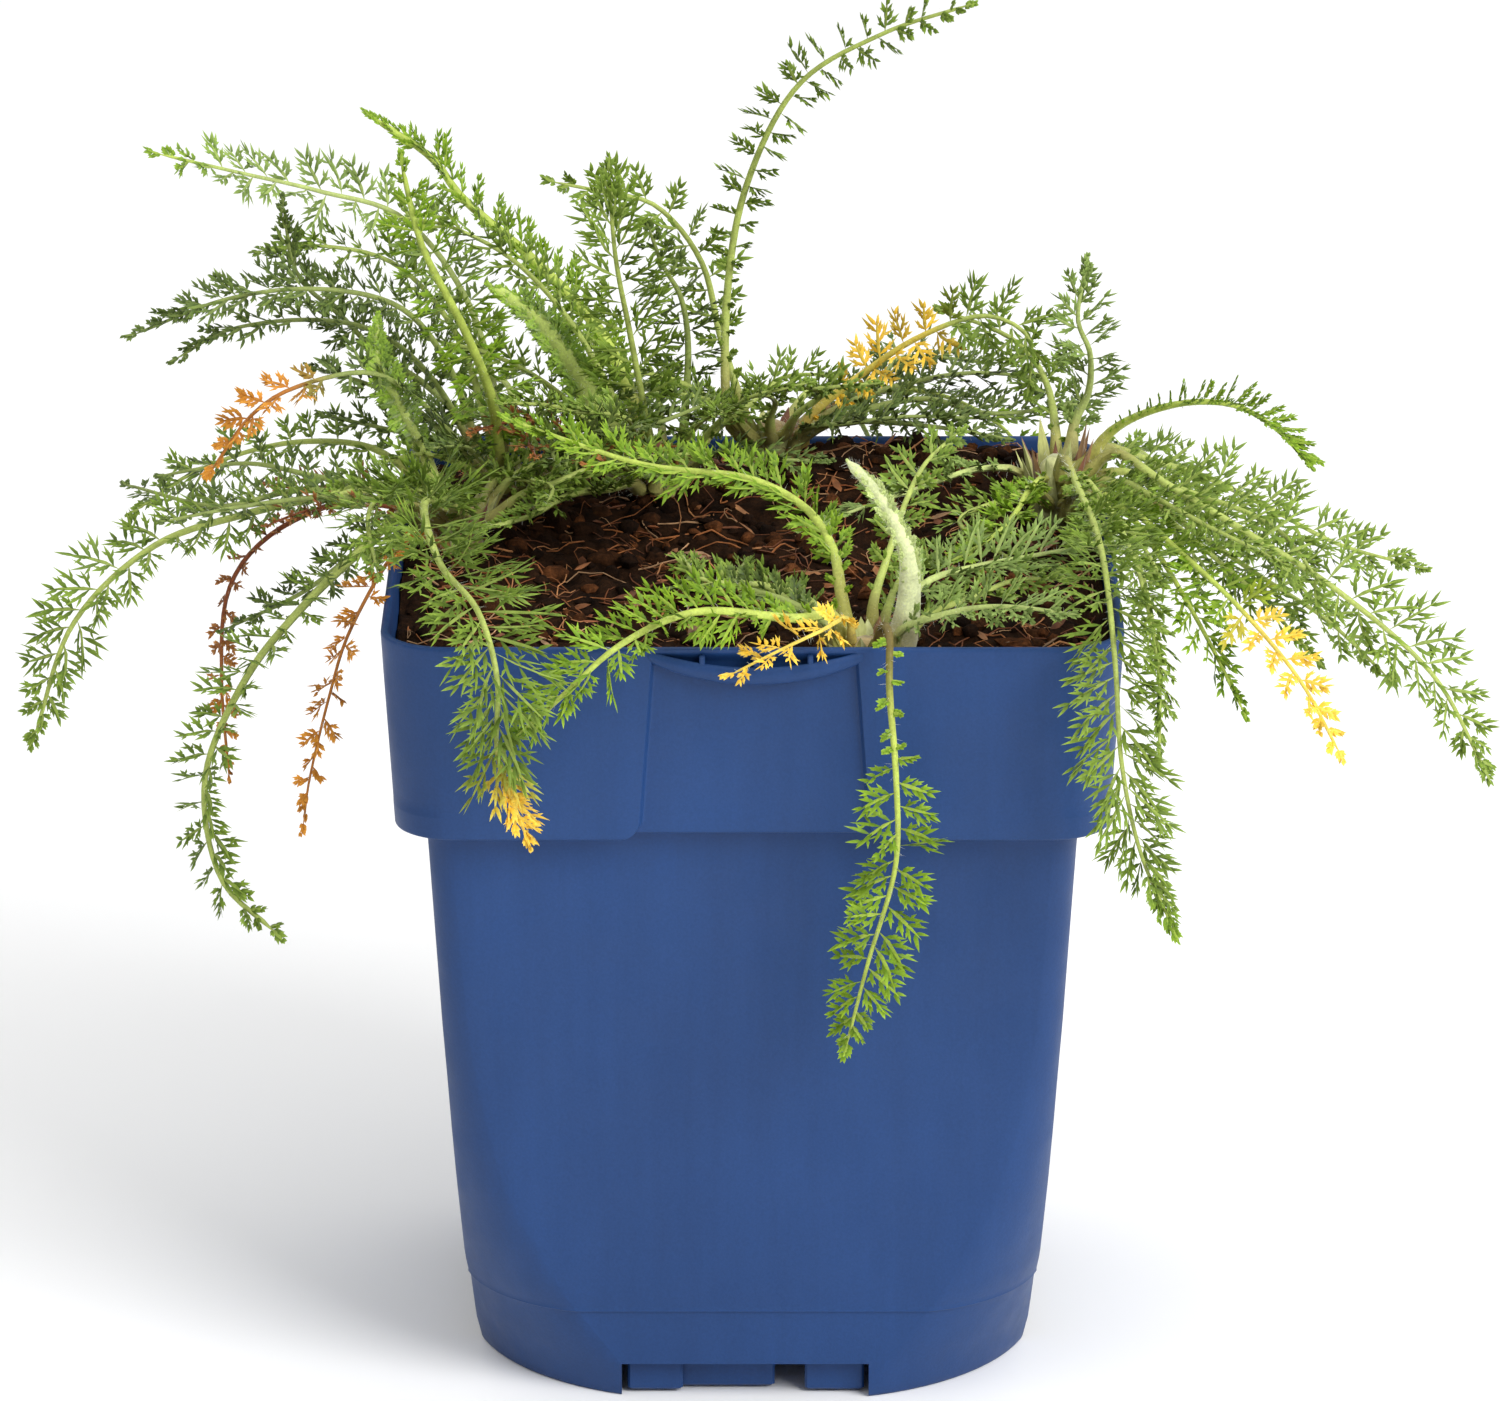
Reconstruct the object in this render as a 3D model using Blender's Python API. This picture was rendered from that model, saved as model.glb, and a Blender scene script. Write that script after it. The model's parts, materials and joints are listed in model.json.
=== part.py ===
"""A yarrow plant in the square blue nursery pot that it was grown in. Metres, +Z up, -Y is the front."""

import math
import random

import bpy
import numpy as np
from mathutils.bvhtree import BVHTree

MM = 0.001  # the numbers below are millimetres

# The pot
RIM_HALF = 55.0  # half of the 110 mm square rim
POT_HEIGHT = 124.0
COLLAR_HEIGHT = 30.5
COLLAR_FOOT_HALF = 53.2
SHOULDER_HALF = 48.5  # the body just below the collar
BAND_HEIGHT = 14.5  # the slightly narrower band that the body stands on
BAND_HALF = 43.5
BAND_CORNER = 16.8
FOOT_HALF = 42.6
FOOT_CORNER = 26.0  # the square body is nearly round where it stands
WALL = 1.6
FLOOR_UNDERSIDE = 6.2
FLOOR_THICK = 1.5
RIM_CORNER = 10.0
COLLAR_CORNER = 9.0
SHOULDER_CORNER = 3.9
BODY_RINGS = (  # height, half width, corner
    (BAND_HEIGHT + 0.25, 43.75, 16.6),
    (28.0, 44.6, 10.6),
    (45.0, 45.6, 6.3),
    (62.0, 46.65, 4.4),
)
CREASE = math.radians(14.6)  # the body's corners meet its flat sides at this angle
FLOOR_HALF = 41.2  # the inner floor
FLOOR_CORNER = 19.6
CORNER_STEPS = 5
SIDE_STEPS = 2  # straight stretches between two corners of a ring
PANEL_TOP_HALF = 14.7  # the sunk middle panel of each collar side
PANEL_FOOT_HALF = 16.8
PANEL_FLARE = 2.6  # how far it widens round the lower corners of the wings beside it
PANEL_DEPTH = 0.7
NOTCH_HALF = 18.8  # the opening between the feet on each side
NOTCH_CENTRE = -1.1
NOTCH_HEIGHT = 5.7
DRAIN_RADIUS = 3.5
DRAIN_SPREAD = 24.0
FOOT_BLOCKS = (  # x from, x to, y from, y to, lowest z
    (-19.0, -10.6, -40.3, -36.0, 0.5),
    (-11.4, 3.4, -38.9, -34.0, 0.5),
    (8.0, 17.0, -40.3, -36.0, 0.5),
    (-19.0, -10.6, 36.0, 40.3, 0.5),
    (-11.4, 3.4, 34.0, 38.9, 0.5),
    (8.0, 17.0, 36.0, 40.3, 0.5),
)

# The label pocket at the front of the rim: a bowed lip with three short ribs behind it
LIP_HALF = 15.4
LIP_CENTRE = 0.5
LIP_BOW = 1.8
LIP_THICK = 1.0
LIP_FOOT = 118.4
LIP_END_TOP = 122.6
LIP_DIP = 2.2
LIP_STEPS = 8
RIB_AT = (-7.4, 0.5, 8.5)
RIB_HALF = 0.45
RIB_OUT = 1.7
RIB_FOOT = 119.6
RIB_TOP = 122.4

# The soil
SOIL_GAP = 0.3
SOIL_BASE = 118.6
SOIL_RINGS = 8
SOIL_SEED = 11
SOIL_ROUGH = 0.9
SOIL_EDGE_TOP = 119.4

# The crowns: x, y, height of the bud above the soil, radius
CROWNS = {
    "a": (-15, 33, 4.0, 4.2),
    "b": (17, -44, 3.0, 3.6),
    "c": (47, 20, 9.0, 3.6),
    "d": (3, 43, 4.5, 3.4),
    "e": (-45, 7, 6.0, 3.6),
    "f": (-37, 27, 4.0, 3.6),
}
CROWN_DEPTH = 9.0
CROWN_SIDES = 9
HOLE_GAP = 0.3

# Colours: base colour and roughness
GREEN = ((0.100, 0.170, 0.058), 0.62)
DARK = ((0.058, 0.104, 0.040), 0.64)
FRESH = ((0.205, 0.300, 0.092), 0.60)
GREY = ((0.165, 0.228, 0.118), 0.68)
HAIRY = ((0.330, 0.400, 0.225), 0.75)
YELLOW = ((0.440, 0.350, 0.065), 0.66)
ORANGE = ((0.430, 0.150, 0.036), 0.70)
BROWN = ((0.140, 0.064, 0.028), 0.78)
POT_BLUE = ((0.026, 0.082, 0.250), 0.46)
SOIL_BROWN = ((0.050, 0.028, 0.016), 0.95)
CROWN_BROWN = ((0.210, 0.130, 0.060), 0.80)

# Which way a frond's upper side looks
OPEN = (0.0, -0.50, 0.87)
FRONT = (0.0, -0.90, 0.44)
UP = (0.0, -0.15, 0.99)
LEFT = (-0.60, -0.45, 0.66)
RIGHT = (0.60, -0.45, 0.66)
BACK = (0.0, 0.35, 0.94)

# Each frond: name, crown, colour, upper side, reach of its longest leaflets, leaflet pairs, share of its
# length that is bare stalk, lobed or plain leaflets, then the points that its midrib runs through.
FRONDS = (
    ("tall", "d", GREEN, FRONT, 9.0, 12, 0.30, True,
     ((-4, 42, 132), (-4, 46, 149), (-1, 46, 167), (7, 43, 184), (20, 40, 193), (33, 38, 198))),
    ("far_left_high", "f", GREEN, OPEN, 9.0, 12, 0.22, True,
     ((-39, 32, 132), (-44, 38, 150), (-54, 38, 164), (-67, 36, 169), (-79, 32, 173), (-91, 28, 177))),
    ("long_up", "a", GREEN, OPEN, 8.5, 10, 0.18, True,
     ((-18, 36, 133), (-24, 42, 145), (-34, 46, 155), (-45, 46, 165), (-50, 45, 172), (-59, 43, 179))),
    ("far_right", "c", GREEN, OPEN, 10.0, 12, 0.20, True,
     ((56, 15, 133), (63, 2, 132), (75, -7, 127), (89, -12, 119), (103, -15, 107), (111, -18, 93))),
    ("far_left_low", "e", GREEN, OPEN, 10.0, 12, 0.20, True,
     ((-54, 6, 130), (-63, 0, 131), (-77, -4, 129), (-91, -8, 125), (-103, -12, 114), (-109, -14, 97))),
    ("bush_front", "e", FRESH, OPEN, 9.0, 12, 0.24, True,
     ((-44, -6, 130), (-49, -24, 137), (-46, -48, 135), (-40, -62, 132), (-37, -70, 124), (-37, -72, 113),
      (-33, -70, 100))),
    ("corner_droop", "c", GREEN, FRONT, 9.0, 10, 0.42, True,
     ((48, 12, 133), (49, -8, 135), (51, -30, 135), (52, -50, 133), (53, -62, 123), (54, -64, 109),
      (57, -63, 95), (62, -62, 83))),
    ("front_hang", "b", GREEN, FRONT, 9.0, 9, 0.38, True,
     ((19, -51, 126), (20, -58, 127), (20, -63, 120), (21, -64, 107), (21, -63, 93), (17, -61, 77),
      (14, -60, 64))),
    ("left_droop", "e", GREEN, LEFT, 8.5, 11, 0.20, True,
     ((-52, -4, 130), (-60, -16, 126), (-68, -24, 120), (-76, -30, 111), (-82, -34, 97), (-80, -36, 82),
      (-72, -38, 74))),
    ("rim_left", "b", FRESH, OPEN, 8.5, 10, 0.20, True,
     ((12, -48, 127), (6, -53, 128), (-8, -56, 130), (-19, -62, 127), (-28, -66, 120), (-36, -68, 113))),
    ("centre_long", "b", FRESH, OPEN, 7.5, 10, 0.26, False,
     ((13, -38, 128), (12, -32, 132), (8, -24, 136), (-1, -18, 139), (-17, -14, 140), (-36, -12, 146))),
    ("right_high", "c", GREEN, OPEN, 9.0, 8, 0.12, False,
     ((54, 22, 132), (62, 24, 129), (70, 26, 126), (80, 26, 121), (91, 26, 115), (103, 24, 112))),
    ("left_front_up", "f", GREEN, FRONT, 9.0, 9, 0.22, False,
     ((-39, 21, 129), (-40, 14, 142), (-44, 8, 155), (-50, 4, 169), (-53, 6, 181))),
    ("left_dark", "f", DARK, OPEN, 8.0, 10, 0.24, False,
     ((-43, 25, 132), (-47, 20, 146), (-54, 16, 156), (-66, 12, 160), (-80, 10, 159), (-94, 8, 154))),
    ("left_dark_low", "f", DARK, FRONT, 7.0, 8, 0.30, False,
     ((-43, 31, 131), (-50, 30, 139), (-58, 26, 146), (-63, 24, 152), (-70, 24, 159), (-72, 24, 170))),
    ("left_orange", "f", ORANGE, OPEN, 7.0, 8, 0.20, False,
     ((-43, 20, 130), (-50, 10, 142), (-58, 4, 149), (-69, 0, 148), (-76, -2, 144), (-82, -4, 136))),
    ("left_mid", "e", GREEN, OPEN, 7.0, 7, 0.12, False,
     ((-53, 12, 131), (-59, 15, 134), (-68, 18, 134), (-77, 20, 132), (-87, 20, 128), (-95, 18, 123))),
    ("left_small", "e", DARK, OPEN, 6.0, 5, 0.12, False,
     ((-53, 2, 127), (-58, -4, 125), (-68, -8, 118), (-80, -8, 112))),
    ("dead_brown", "e", BROWN, LEFT, 4.0, 7, 0.25, False,
     ((-54, 8, 127), (-63, 9, 127), (-74, 4, 123), (-80, -2, 116), (-81, -6, 103), (-80, -8, 88))),
    ("dead_orange", "e", ORANGE, LEFT, 5.5, 7, 0.22, False,
     ((-50, -3, 125), (-54, -22, 128), (-60, -34, 120), (-63, -37, 111), (-66, -40, 99), (-67, -42, 92))),
    ("young_light", "e", HAIRY, FRONT, 3.2, 7, 0.28, False,
     ((-49, 13, 128), (-51, 12, 135), (-54, 8, 143), (-57, 7, 150), (-57, 6, 157))),
    ("spear_big", "a", HAIRY, FRONT, 3.6, 8, 0.16, False,
     ((-20, 30, 129), (-25, 28, 138), (-30, 26, 147), (-34, 23, 153), (-40, 20, 158))),
    ("broad_up", "a", GREEN, FRONT, 9.0, 9, 0.16, False,
     ((-15, 27, 127), (-17, 24, 139), (-19, 22, 151), (-21, 20, 163), (-22, 22, 176))),
    ("back_arch", "d", GREEN, FRONT, 8.0, 8, 0.24, False,
     ((-1, 48, 129), (-5, 52, 141), (-8, 53, 153), (-15, 53, 162), (-24, 51, 165), (-31, 49, 167))),
    ("back_fan", "a", DARK, FRONT, 7.0, 6, 0.20, False,
     ((-11, 37, 127), (-10, 38, 142), (-11, 38, 151), (-14, 37, 157), (-16, 36, 163))),
    ("spear_white", "b", HAIRY, FRONT, 3.0, 6, 0.20, False,
     ((23, -46, 128), (23, -46, 135), (21, -45, 140), (18, -44, 145), (14, -43, 149))),
    ("right_up", "b", GREEN, OPEN, 6.5, 6, 0.25, False,
     ((18, -38, 126), (20, -33, 131), (23, -26, 138), (26, -20, 142), (31, -14, 145))),
    ("right_over", "b", FRESH, OPEN, 6.5, 7, 0.14, False,
     ((22, -41, 125), (26, -38, 129), (33, -34, 130), (41, -29, 130), (50, -27, 131), (55, -26, 131))),
    ("right_low", "b", FRESH, OPEN, 5.5, 6, 0.16, False,
     ((22, -49, 125), (27, -52, 128), (33, -54, 130), (39, -57, 131), (46, -60, 131))),
    ("inner_left", "b", DARK, OPEN, 5.5, 5, 0.15, False,
     ((11, -43, 124), (4, -40, 127), (-4, -37, 128), (-12, -35, 127))),
    ("label_yellow", "b", YELLOW, OPEN, 5.0, 5, 0.24, False,
     ((14, -50, 127), (10, -59, 128), (4, -62, 126), (-3, -64, 123))),
    ("soil_left", "a", GREY, UP, 5.5, 5, 0.14, False,
     ((-19, 26, 125), (-22, 16, 127), (-28, 6, 129), (-34, -2, 128), (-42, -6, 127))),
    ("soil_right", "c", GREY, UP, 6.0, 6, 0.16, False,
     ((41, 19, 129), (34, 16, 130), (26, 10, 129), (18, 4, 128), (8, -2, 126))),
    ("right_soil_front", "c", FRESH, UP, 6.5, 7, 0.20, False,
     ((45, 15, 129), (42, 4, 130), (40, -6, 130), (36, -16, 129), (28, -22, 126))),
    ("c_up", "c", FRESH, FRONT, 7.0, 6, 0.14, False,
     ((50, 26, 135), (52, 25, 140), (52, 22, 147), (50, 20, 153), (51, 20, 161))),
    ("c_back", "c", GREEN, FRONT, 7.0, 7, 0.16, False,
     ((47, 27, 133), (46, 34, 138), (43, 40, 142), (38, 42, 145), (30, 42, 148))),
    ("young_right", "c", FRESH, OPEN, 6.5, 8, 0.14, False,
     ((55, 19, 135), (60, 16, 139), (67, 12, 142), (74, 10, 142), (80, 8, 139), (85, 6, 134))),
    ("right_mid", "c", GREEN, OPEN, 8.0, 7, 0.16, False,
     ((53, 17, 128), (60, 12, 127), (69, 7, 122), (78, 2, 117), (88, -1, 111), (97, -4, 103))),
    ("yellow_right", "c", YELLOW, OPEN, 7.0, 7, 0.26, False,
     ((52, 13, 127), (57, 4, 128), (64, -8, 125), (73, -18, 119), (82, -26, 110), (88, -31, 100))),
    ("right_back_low", "c", GREEN, RIGHT, 5.5, 6, 0.34, False,
     ((49, 12, 127), (55, 0, 128), (59, -14, 122), (61, -26, 111), (61, -32, 100))),
    ("yellow_arch", "d", YELLOW, FRONT, 6.5, 7, 0.18, False,
     ((9, 42, 131), (17, 41, 138), (26, 38, 145), (36, 36, 149), (43, 34, 146), (43, 32, 139))),
    ("soil_back", "d", DARK, UP, 7.0, 7, 0.12, False,
     ((8, 38, 130), (15, 31, 133), (24, 28, 135), (36, 27, 135))),
    ("back_left_hang", "f", GREEN, BACK, 8.5, 7, 0.24, False,
     ((-37, 33, 128), (-38, 46, 134), (-42, 58, 132), (-48, 67, 122), (-52, 72, 109))),
    ("back_centre_hang", "a", DARK, BACK, 8.0, 7, 0.26, False,
     ((-14, 39, 127), (-15, 51, 132), (-18, 61, 129), (-21, 68, 119), (-23, 72, 106))),
    ("back_right_hang", "d", GREEN, BACK, 8.5, 7, 0.26, False,
     ((5, 48, 128), (10, 58, 131), (16, 66, 125), (21, 70, 113), (24, 72, 99))),
    ("back_corner_long", "c", GREEN, BACK, 8.5, 7, 0.20, False,
     ((54, 27, 128), (59, 38, 127), (64, 50, 120), (69, 60, 108), (72, 66, 95))),
    ("back_high", "d", FRESH, BACK, 8.0, 8, 0.20, False,
     ((10, 46, 130), (20, 52, 132), (30, 57, 130), (40, 62, 123), (47, 66, 112))),
)

FROND_SEED = 5
STALK_RADIUS = 1.0  # the midrib at its foot
TIP_RADIUS = 0.5
STALK_STEPS = 3
ROOT_CLEAR = 1.6  # the foot of a frond starts this far outside its crown's side
SWEEP = 28.0  # degrees that a leaflet leans towards the tip
LIFT = 16.0  # degrees that it rises from the frond's own plane
NECK = 0.55
LEAFLET_THICK = 0.75  # the blade at its middle, above its flat underside
DROOP = 0.012  # how much a leaflet bends down towards its tip, per millimetre of its length
CLEARANCE = 0.28
TRIES = (  # length and extra lift that a leaflet tries, in turn, until it is clear of all that stands there
    (1.0, 0), (1.0, 14), (1.0, -14), (0.85, 26), (0.85, -26), (0.7, 8), (0.7, -8), (0.7, 38), (0.55, 0),
    (0.55, 50), (0.42, 0),
)
DENSE = 12  # samples to a span of a route


def material_of(name, look):
    colour, roughness = look
    material = bpy.data.materials.new(name)
    material.use_nodes = True
    shader = material.node_tree.nodes["Principled BSDF"]
    shader.inputs["Base Color"].default_value = (*colour, 1.0)
    shader.inputs["Roughness"].default_value = roughness
    shader.inputs["Metallic"].default_value = 0.0
    return material


def make_object(name, points, faces, look=None):
    mesh = bpy.data.meshes.new(name)
    mesh.from_pydata([tuple(float(value) * MM for value in point) for point in points], [], faces)
    mesh.validate()
    made = bpy.data.objects.new(name, mesh)
    bpy.context.scene.collection.objects.link(made)
    if look:
        mesh.materials.append(material_of(name, look))
    return made


def shade(made, sharp_degrees):
    made.data.shade_smooth()
    made.data.set_sharp_from_angle(angle=math.radians(sharp_degrees))


def combine(target, others, operation, solver="EXACT"):
    """One Boolean on a collection of the others, applied, with the others removed."""
    group = bpy.data.collections.new("helpers")
    bpy.context.scene.collection.children.link(group)
    for other in others:
        bpy.context.scene.collection.objects.unlink(other)
        group.objects.link(other)
        other.hide_render = True
        other.display_type = "WIRE"
    modifier = target.modifiers.new("join", "BOOLEAN")
    modifier.operation = operation
    modifier.operand_type = "COLLECTION"
    modifier.collection = group
    modifier.solver = solver
    bpy.context.view_layer.update()
    graph = bpy.context.evaluated_depsgraph_get()
    result = bpy.data.meshes.new_from_object(target.evaluated_get(graph))
    target.modifiers.clear()
    target.data = result
    for other in others:
        bpy.data.objects.remove(other)
    bpy.data.collections.remove(group)


def rounded_square(half, corner, height, crease=0.0):
    """Points anticlockwise round a square with rounded corners, the same number for every size."""
    points = []
    flat = half - corner
    radius = corner * math.sqrt(0.5) / math.sin(math.pi / 4 - crease)
    reach = half - radius * math.cos(crease)
    for quarter in range(4):
        turn = quarter * math.pi / 2
        for step in range(CORNER_STEPS + 1):
            angle = turn + crease + step / CORNER_STEPS * (math.pi / 2 - 2 * crease)
            centre_x = reach * math.copysign(1, math.cos(turn + math.pi / 4))
            centre_y = reach * math.copysign(1, math.sin(turn + math.pi / 4))
            points.append((centre_x + radius * math.cos(angle), centre_y + radius * math.sin(angle), height))
        ahead = turn + math.pi / 2
        for step in range(1, SIDE_STEPS):
            slide = flat - 2 * flat * step / SIDE_STEPS
            points.append((
                half * math.cos(ahead) + slide * math.sin(ahead),
                half * math.sin(ahead) - slide * math.cos(ahead), height,
            ))
    return points


def body_rings(inward, tighter):
    """The rings between the band and the shoulder, drawn in from the outside, their corners tighter."""
    return [
        rounded_square(half - inward, corner - tighter, height, CREASE) for height, half, corner in BODY_RINGS
    ]


def loft(rings):
    """A closed body through rings that all have the same number of points, from the first cap to the last."""
    count = len(rings[0])
    points = [point for ring in rings for point in ring]
    faces = []
    for level in range(len(rings) - 1):
        low = level * count
        for index in range(count):
            following = (index + 1) % count
            faces.append((low + index, low + following, low + count + following))
            faces.append((low + index, low + count + following, low + count + index))
    faces.append(tuple(range(count - 1, -1, -1)))
    faces.append(tuple(range((len(rings) - 1) * count, len(rings) * count)))
    return points, faces


def block(name, low, high):
    (x0, y0, z0), (x1, y1, z1) = low, high
    ring = ((x0, y0), (x1, y0), (x1, y1), (x0, y1))
    return make_object(name, *loft([[(x, y, z) for x, y in ring] for z in (z0, z1)]))


def drum(name, x, y, radius, z0, z1, sides=10):
    turns = [index / sides * 2 * math.pi for index in range(sides)]
    ring = [(x + radius * math.cos(turn), y + radius * math.sin(turn)) for turn in turns]
    return make_object(name, *loft([[(px, py, z) for px, py in ring] for z in (z0, z1)]))


def collar_foot():
    return POT_HEIGHT - COLLAR_HEIGHT


def panel_cutter(name, quarter):
    """A shallow tray on one side of the collar, open at its lower edge and widening there."""
    top = POT_HEIGHT + 3
    foot = collar_foot() - 1
    wide = PANEL_FOOT_HALF + PANEL_FLARE
    outline = (
        (-PANEL_TOP_HALF, top), (-PANEL_FOOT_HALF, foot + 1 + PANEL_FLARE), (-wide, foot),
        (wide, foot), (PANEL_FOOT_HALF, foot + 1 + PANEL_FLARE), (PANEL_TOP_HALF, top),
    )
    lean = (RIM_HALF - COLLAR_FOOT_HALF) / COLLAR_HEIGHT
    rings = []
    for outside in (6.0, -PANEL_DEPTH):
        rings.append([
            (x, -(COLLAR_FOOT_HALF + lean * (z - collar_foot()) + outside), z) for x, z in outline
        ])
    points, faces = loft(rings)
    turn = quarter * math.pi / 2
    points = [
        (x * math.cos(turn) - y * math.sin(turn), x * math.sin(turn) + y * math.cos(turn), z)
        for x, y, z in points
    ]
    cutter = make_object(name, points, faces)
    face_out(cutter)
    return cutter


def face_out(made):
    """Turns the faces outward, judged by the volume that they enclose."""
    mesh = made.data
    mesh.calc_loop_triangles()
    corners = np.array([[mesh.vertices[i].co for i in face.vertices] for face in mesh.loop_triangles])
    if np.linalg.det(corners).sum() < 0:
        mesh.flip_normals()


def label_lip():
    """The bowed plate in front of the rim, its upper edge dipping in the middle."""
    columns = []
    for step in range(LIP_STEPS + 1):
        share = step / LIP_STEPS * 2 - 1
        bow = LIP_BOW * (1 - share * share)
        top = LIP_END_TOP - LIP_DIP * (1 - share * share)
        x = LIP_CENTRE + LIP_HALF * share
        outer_foot = -(wall_at(LIP_FOOT) - PANEL_DEPTH + 0.1)
        outer_top = -(wall_at(top) + bow)
        columns.append([
            (x, outer_foot, LIP_FOOT), (x, outer_top, top - 1.2), (x, outer_top, top),
            (x, outer_top + LIP_THICK, top), (x, outer_foot + 0.5 * LIP_THICK, LIP_FOOT + 1.0),
        ])
    lip = make_object("lip", *loft(columns))
    face_out(lip)
    return lip


def wall_at(height):
    """The collar's outer half width at a height."""
    share = (height - collar_foot()) / COLLAR_HEIGHT
    return COLLAR_FOOT_HALF + (RIM_HALF - COLLAR_FOOT_HALF) * share


def make_pot():
    shelf = collar_foot()
    outer = [
        rounded_square(FOOT_HALF, FOOT_CORNER, 0, CREASE),
        rounded_square(BAND_HALF, BAND_CORNER, BAND_HEIGHT, CREASE),
        *body_rings(0, 0),
        rounded_square(SHOULDER_HALF, SHOULDER_CORNER, shelf, CREASE),
        rounded_square(COLLAR_FOOT_HALF, COLLAR_CORNER, shelf + 0.4),
        rounded_square(RIM_HALF, RIM_CORNER, POT_HEIGHT),
    ]
    pot = make_object("pot", *loft(outer), POT_BLUE)
    floor = FLOOR_UNDERSIDE + FLOOR_THICK
    inside = [
        rounded_square(FLOOR_HALF, FLOOR_CORNER, floor, CREASE),
        *body_rings(WALL, 1.4),
        rounded_square(SHOULDER_HALF - WALL, SHOULDER_CORNER - 1, shelf + 1.2, CREASE),
        rounded_square(COLLAR_FOOT_HALF - WALL, COLLAR_CORNER - 1, shelf + 2.4),
        rounded_square(RIM_HALF - WALL, RIM_CORNER - 1, POT_HEIGHT),
        rounded_square(RIM_HALF - WALL, RIM_CORNER - 1, POT_HEIGHT + 2),
    ]
    under = [
        rounded_square(FOOT_HALF - 2.0, FOOT_CORNER - 1.7, -2, CREASE),
        rounded_square(FOOT_HALF - 1.6, FOOT_CORNER - 5.6, FLOOR_UNDERSIDE, CREASE),
    ]
    combine(pot, [make_object("inside", *loft(inside)), make_object("under", *loft(under))], "DIFFERENCE")
    reach = BAND_HALF + 5
    left, right = NOTCH_CENTRE - NOTCH_HALF, NOTCH_CENTRE + NOTCH_HALF
    cutters = [
        block("notch_y", (left, -reach, -1), (right, reach, NOTCH_HEIGHT)),
        block("notch_x", (-reach, -NOTCH_HALF, -1), (reach, NOTCH_HALF, NOTCH_HEIGHT)),
    ]
    for x in (-DRAIN_SPREAD, DRAIN_SPREAD):
        for y in (-DRAIN_SPREAD, DRAIN_SPREAD):
            cutters.append(drum("drain", x, y, DRAIN_RADIUS, FLOOR_UNDERSIDE - 1, floor + 1))
    # EXACT leaves open edges along the straight inner rim in these cuts, so they use MANIFOLD.
    combine(pot, cutters, "DIFFERENCE", "MANIFOLD")
    combine(pot, [panel_cutter("panel", quarter) for quarter in range(4)], "DIFFERENCE", "MANIFOLD")
    added = [label_lip()]
    for x0, x1, y0, y1, z0 in FOOT_BLOCKS:
        added.append(block("foot", (x0, y0, z0), (x1, y1, FLOOR_UNDERSIDE + 0.5)))
    for x in RIB_AT:
        face = -(wall_at(RIB_TOP) - PANEL_DEPTH)
        low = (x - RIB_HALF, face - RIB_OUT, RIB_FOOT)
        high = (x + RIB_HALF, face + 0.8, RIB_TOP)
        added.append(block("rib", low, high))
    combine(pot, added, "UNION", "MANIFOLD")
    shade(pot, 28)
    return pot


def soil_height(x, y):
    """Mounded at the back and on the right, hollow at the front middle, rough all over."""
    mound = 6.5 * math.exp(-(((x - 30) / 26) ** 2 + ((y - 36) / 20) ** 2))
    mound += 4.0 * math.exp(-(((x + 4) / 30) ** 2 + ((y - 40) / 16) ** 2))
    mound += 1.8 * math.exp(-(((x + 42) / 20) ** 2 + ((y - 10) / 26) ** 2))
    hollow = 3.0 * math.exp(-(((x + 4) / 30) ** 2 + ((y + 26) / 18) ** 2))
    return SOIL_BASE + mound - hollow


def soil_half(height):
    """The soil's half width at a height: the pot's inner wall less the gap."""
    shelf = collar_foot()
    if height >= shelf + 2.4:
        share = (height - shelf - 2.4) / (COLLAR_HEIGHT - 2.4)
        return COLLAR_FOOT_HALF + (RIM_HALF - COLLAR_FOOT_HALF) * share - WALL - SOIL_GAP
    return SHOULDER_HALF - WALL - SOIL_GAP


def make_soil():
    draw = random.Random(SOIL_SEED)
    shelf = collar_foot()
    gap = WALL + SOIL_GAP
    floor = FLOOR_UNDERSIDE + FLOOR_THICK + SOIL_GAP
    rings = [
        rounded_square(FLOOR_HALF - SOIL_GAP - 0.3, FLOOR_CORNER - 0.3, floor, CREASE),
        *body_rings(gap, 1.65),
        rounded_square(SHOULDER_HALF - gap, SHOULDER_CORNER - 1.2, shelf + 1.6, CREASE),
        rounded_square(COLLAR_FOOT_HALF - gap, COLLAR_CORNER - 1, shelf + 2.9),
        rounded_square(soil_half(SOIL_EDGE_TOP) - 0.1, RIM_CORNER - 1.5, SOIL_EDGE_TOP - 1.5),
    ]
    for level in range(1, SOIL_RINGS):
        share = 1 - level / SOIL_RINGS
        ring = []
        outline = rounded_square(soil_half(SOIL_EDGE_TOP) - 0.4, RIM_CORNER, 0)
        for x, y, _ in outline:
            x, y = x * share, y * share
            x += draw.uniform(-0.6, 0.6)
            y += draw.uniform(-0.6, 0.6)
            ring.append((x, y, soil_height(x, y) + draw.uniform(-SOIL_ROUGH, SOIL_ROUGH)))
        rings.append(ring)
    points, faces = loft(rings)
    faces.pop()
    centre = len(points)
    points.append((0, 0, soil_height(0, 0)))
    count = len(rings[0])
    last = (len(rings) - 1) * count
    for index in range(count):
        faces.append((last + index, last + (index + 1) % count, centre))
    soil = make_object("soil", points, faces, SOIL_BROWN)
    holes = []
    for x, y, _, radius in CROWNS.values():
        low = soil_height(x, y) - CROWN_DEPTH - HOLE_GAP
        holes.append(drum("hole", x, y, radius + HOLE_GAP, low, low + 30, CROWN_SIDES))
    combine(soil, holes, "DIFFERENCE")
    shade(soil, 40)
    return soil


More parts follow.
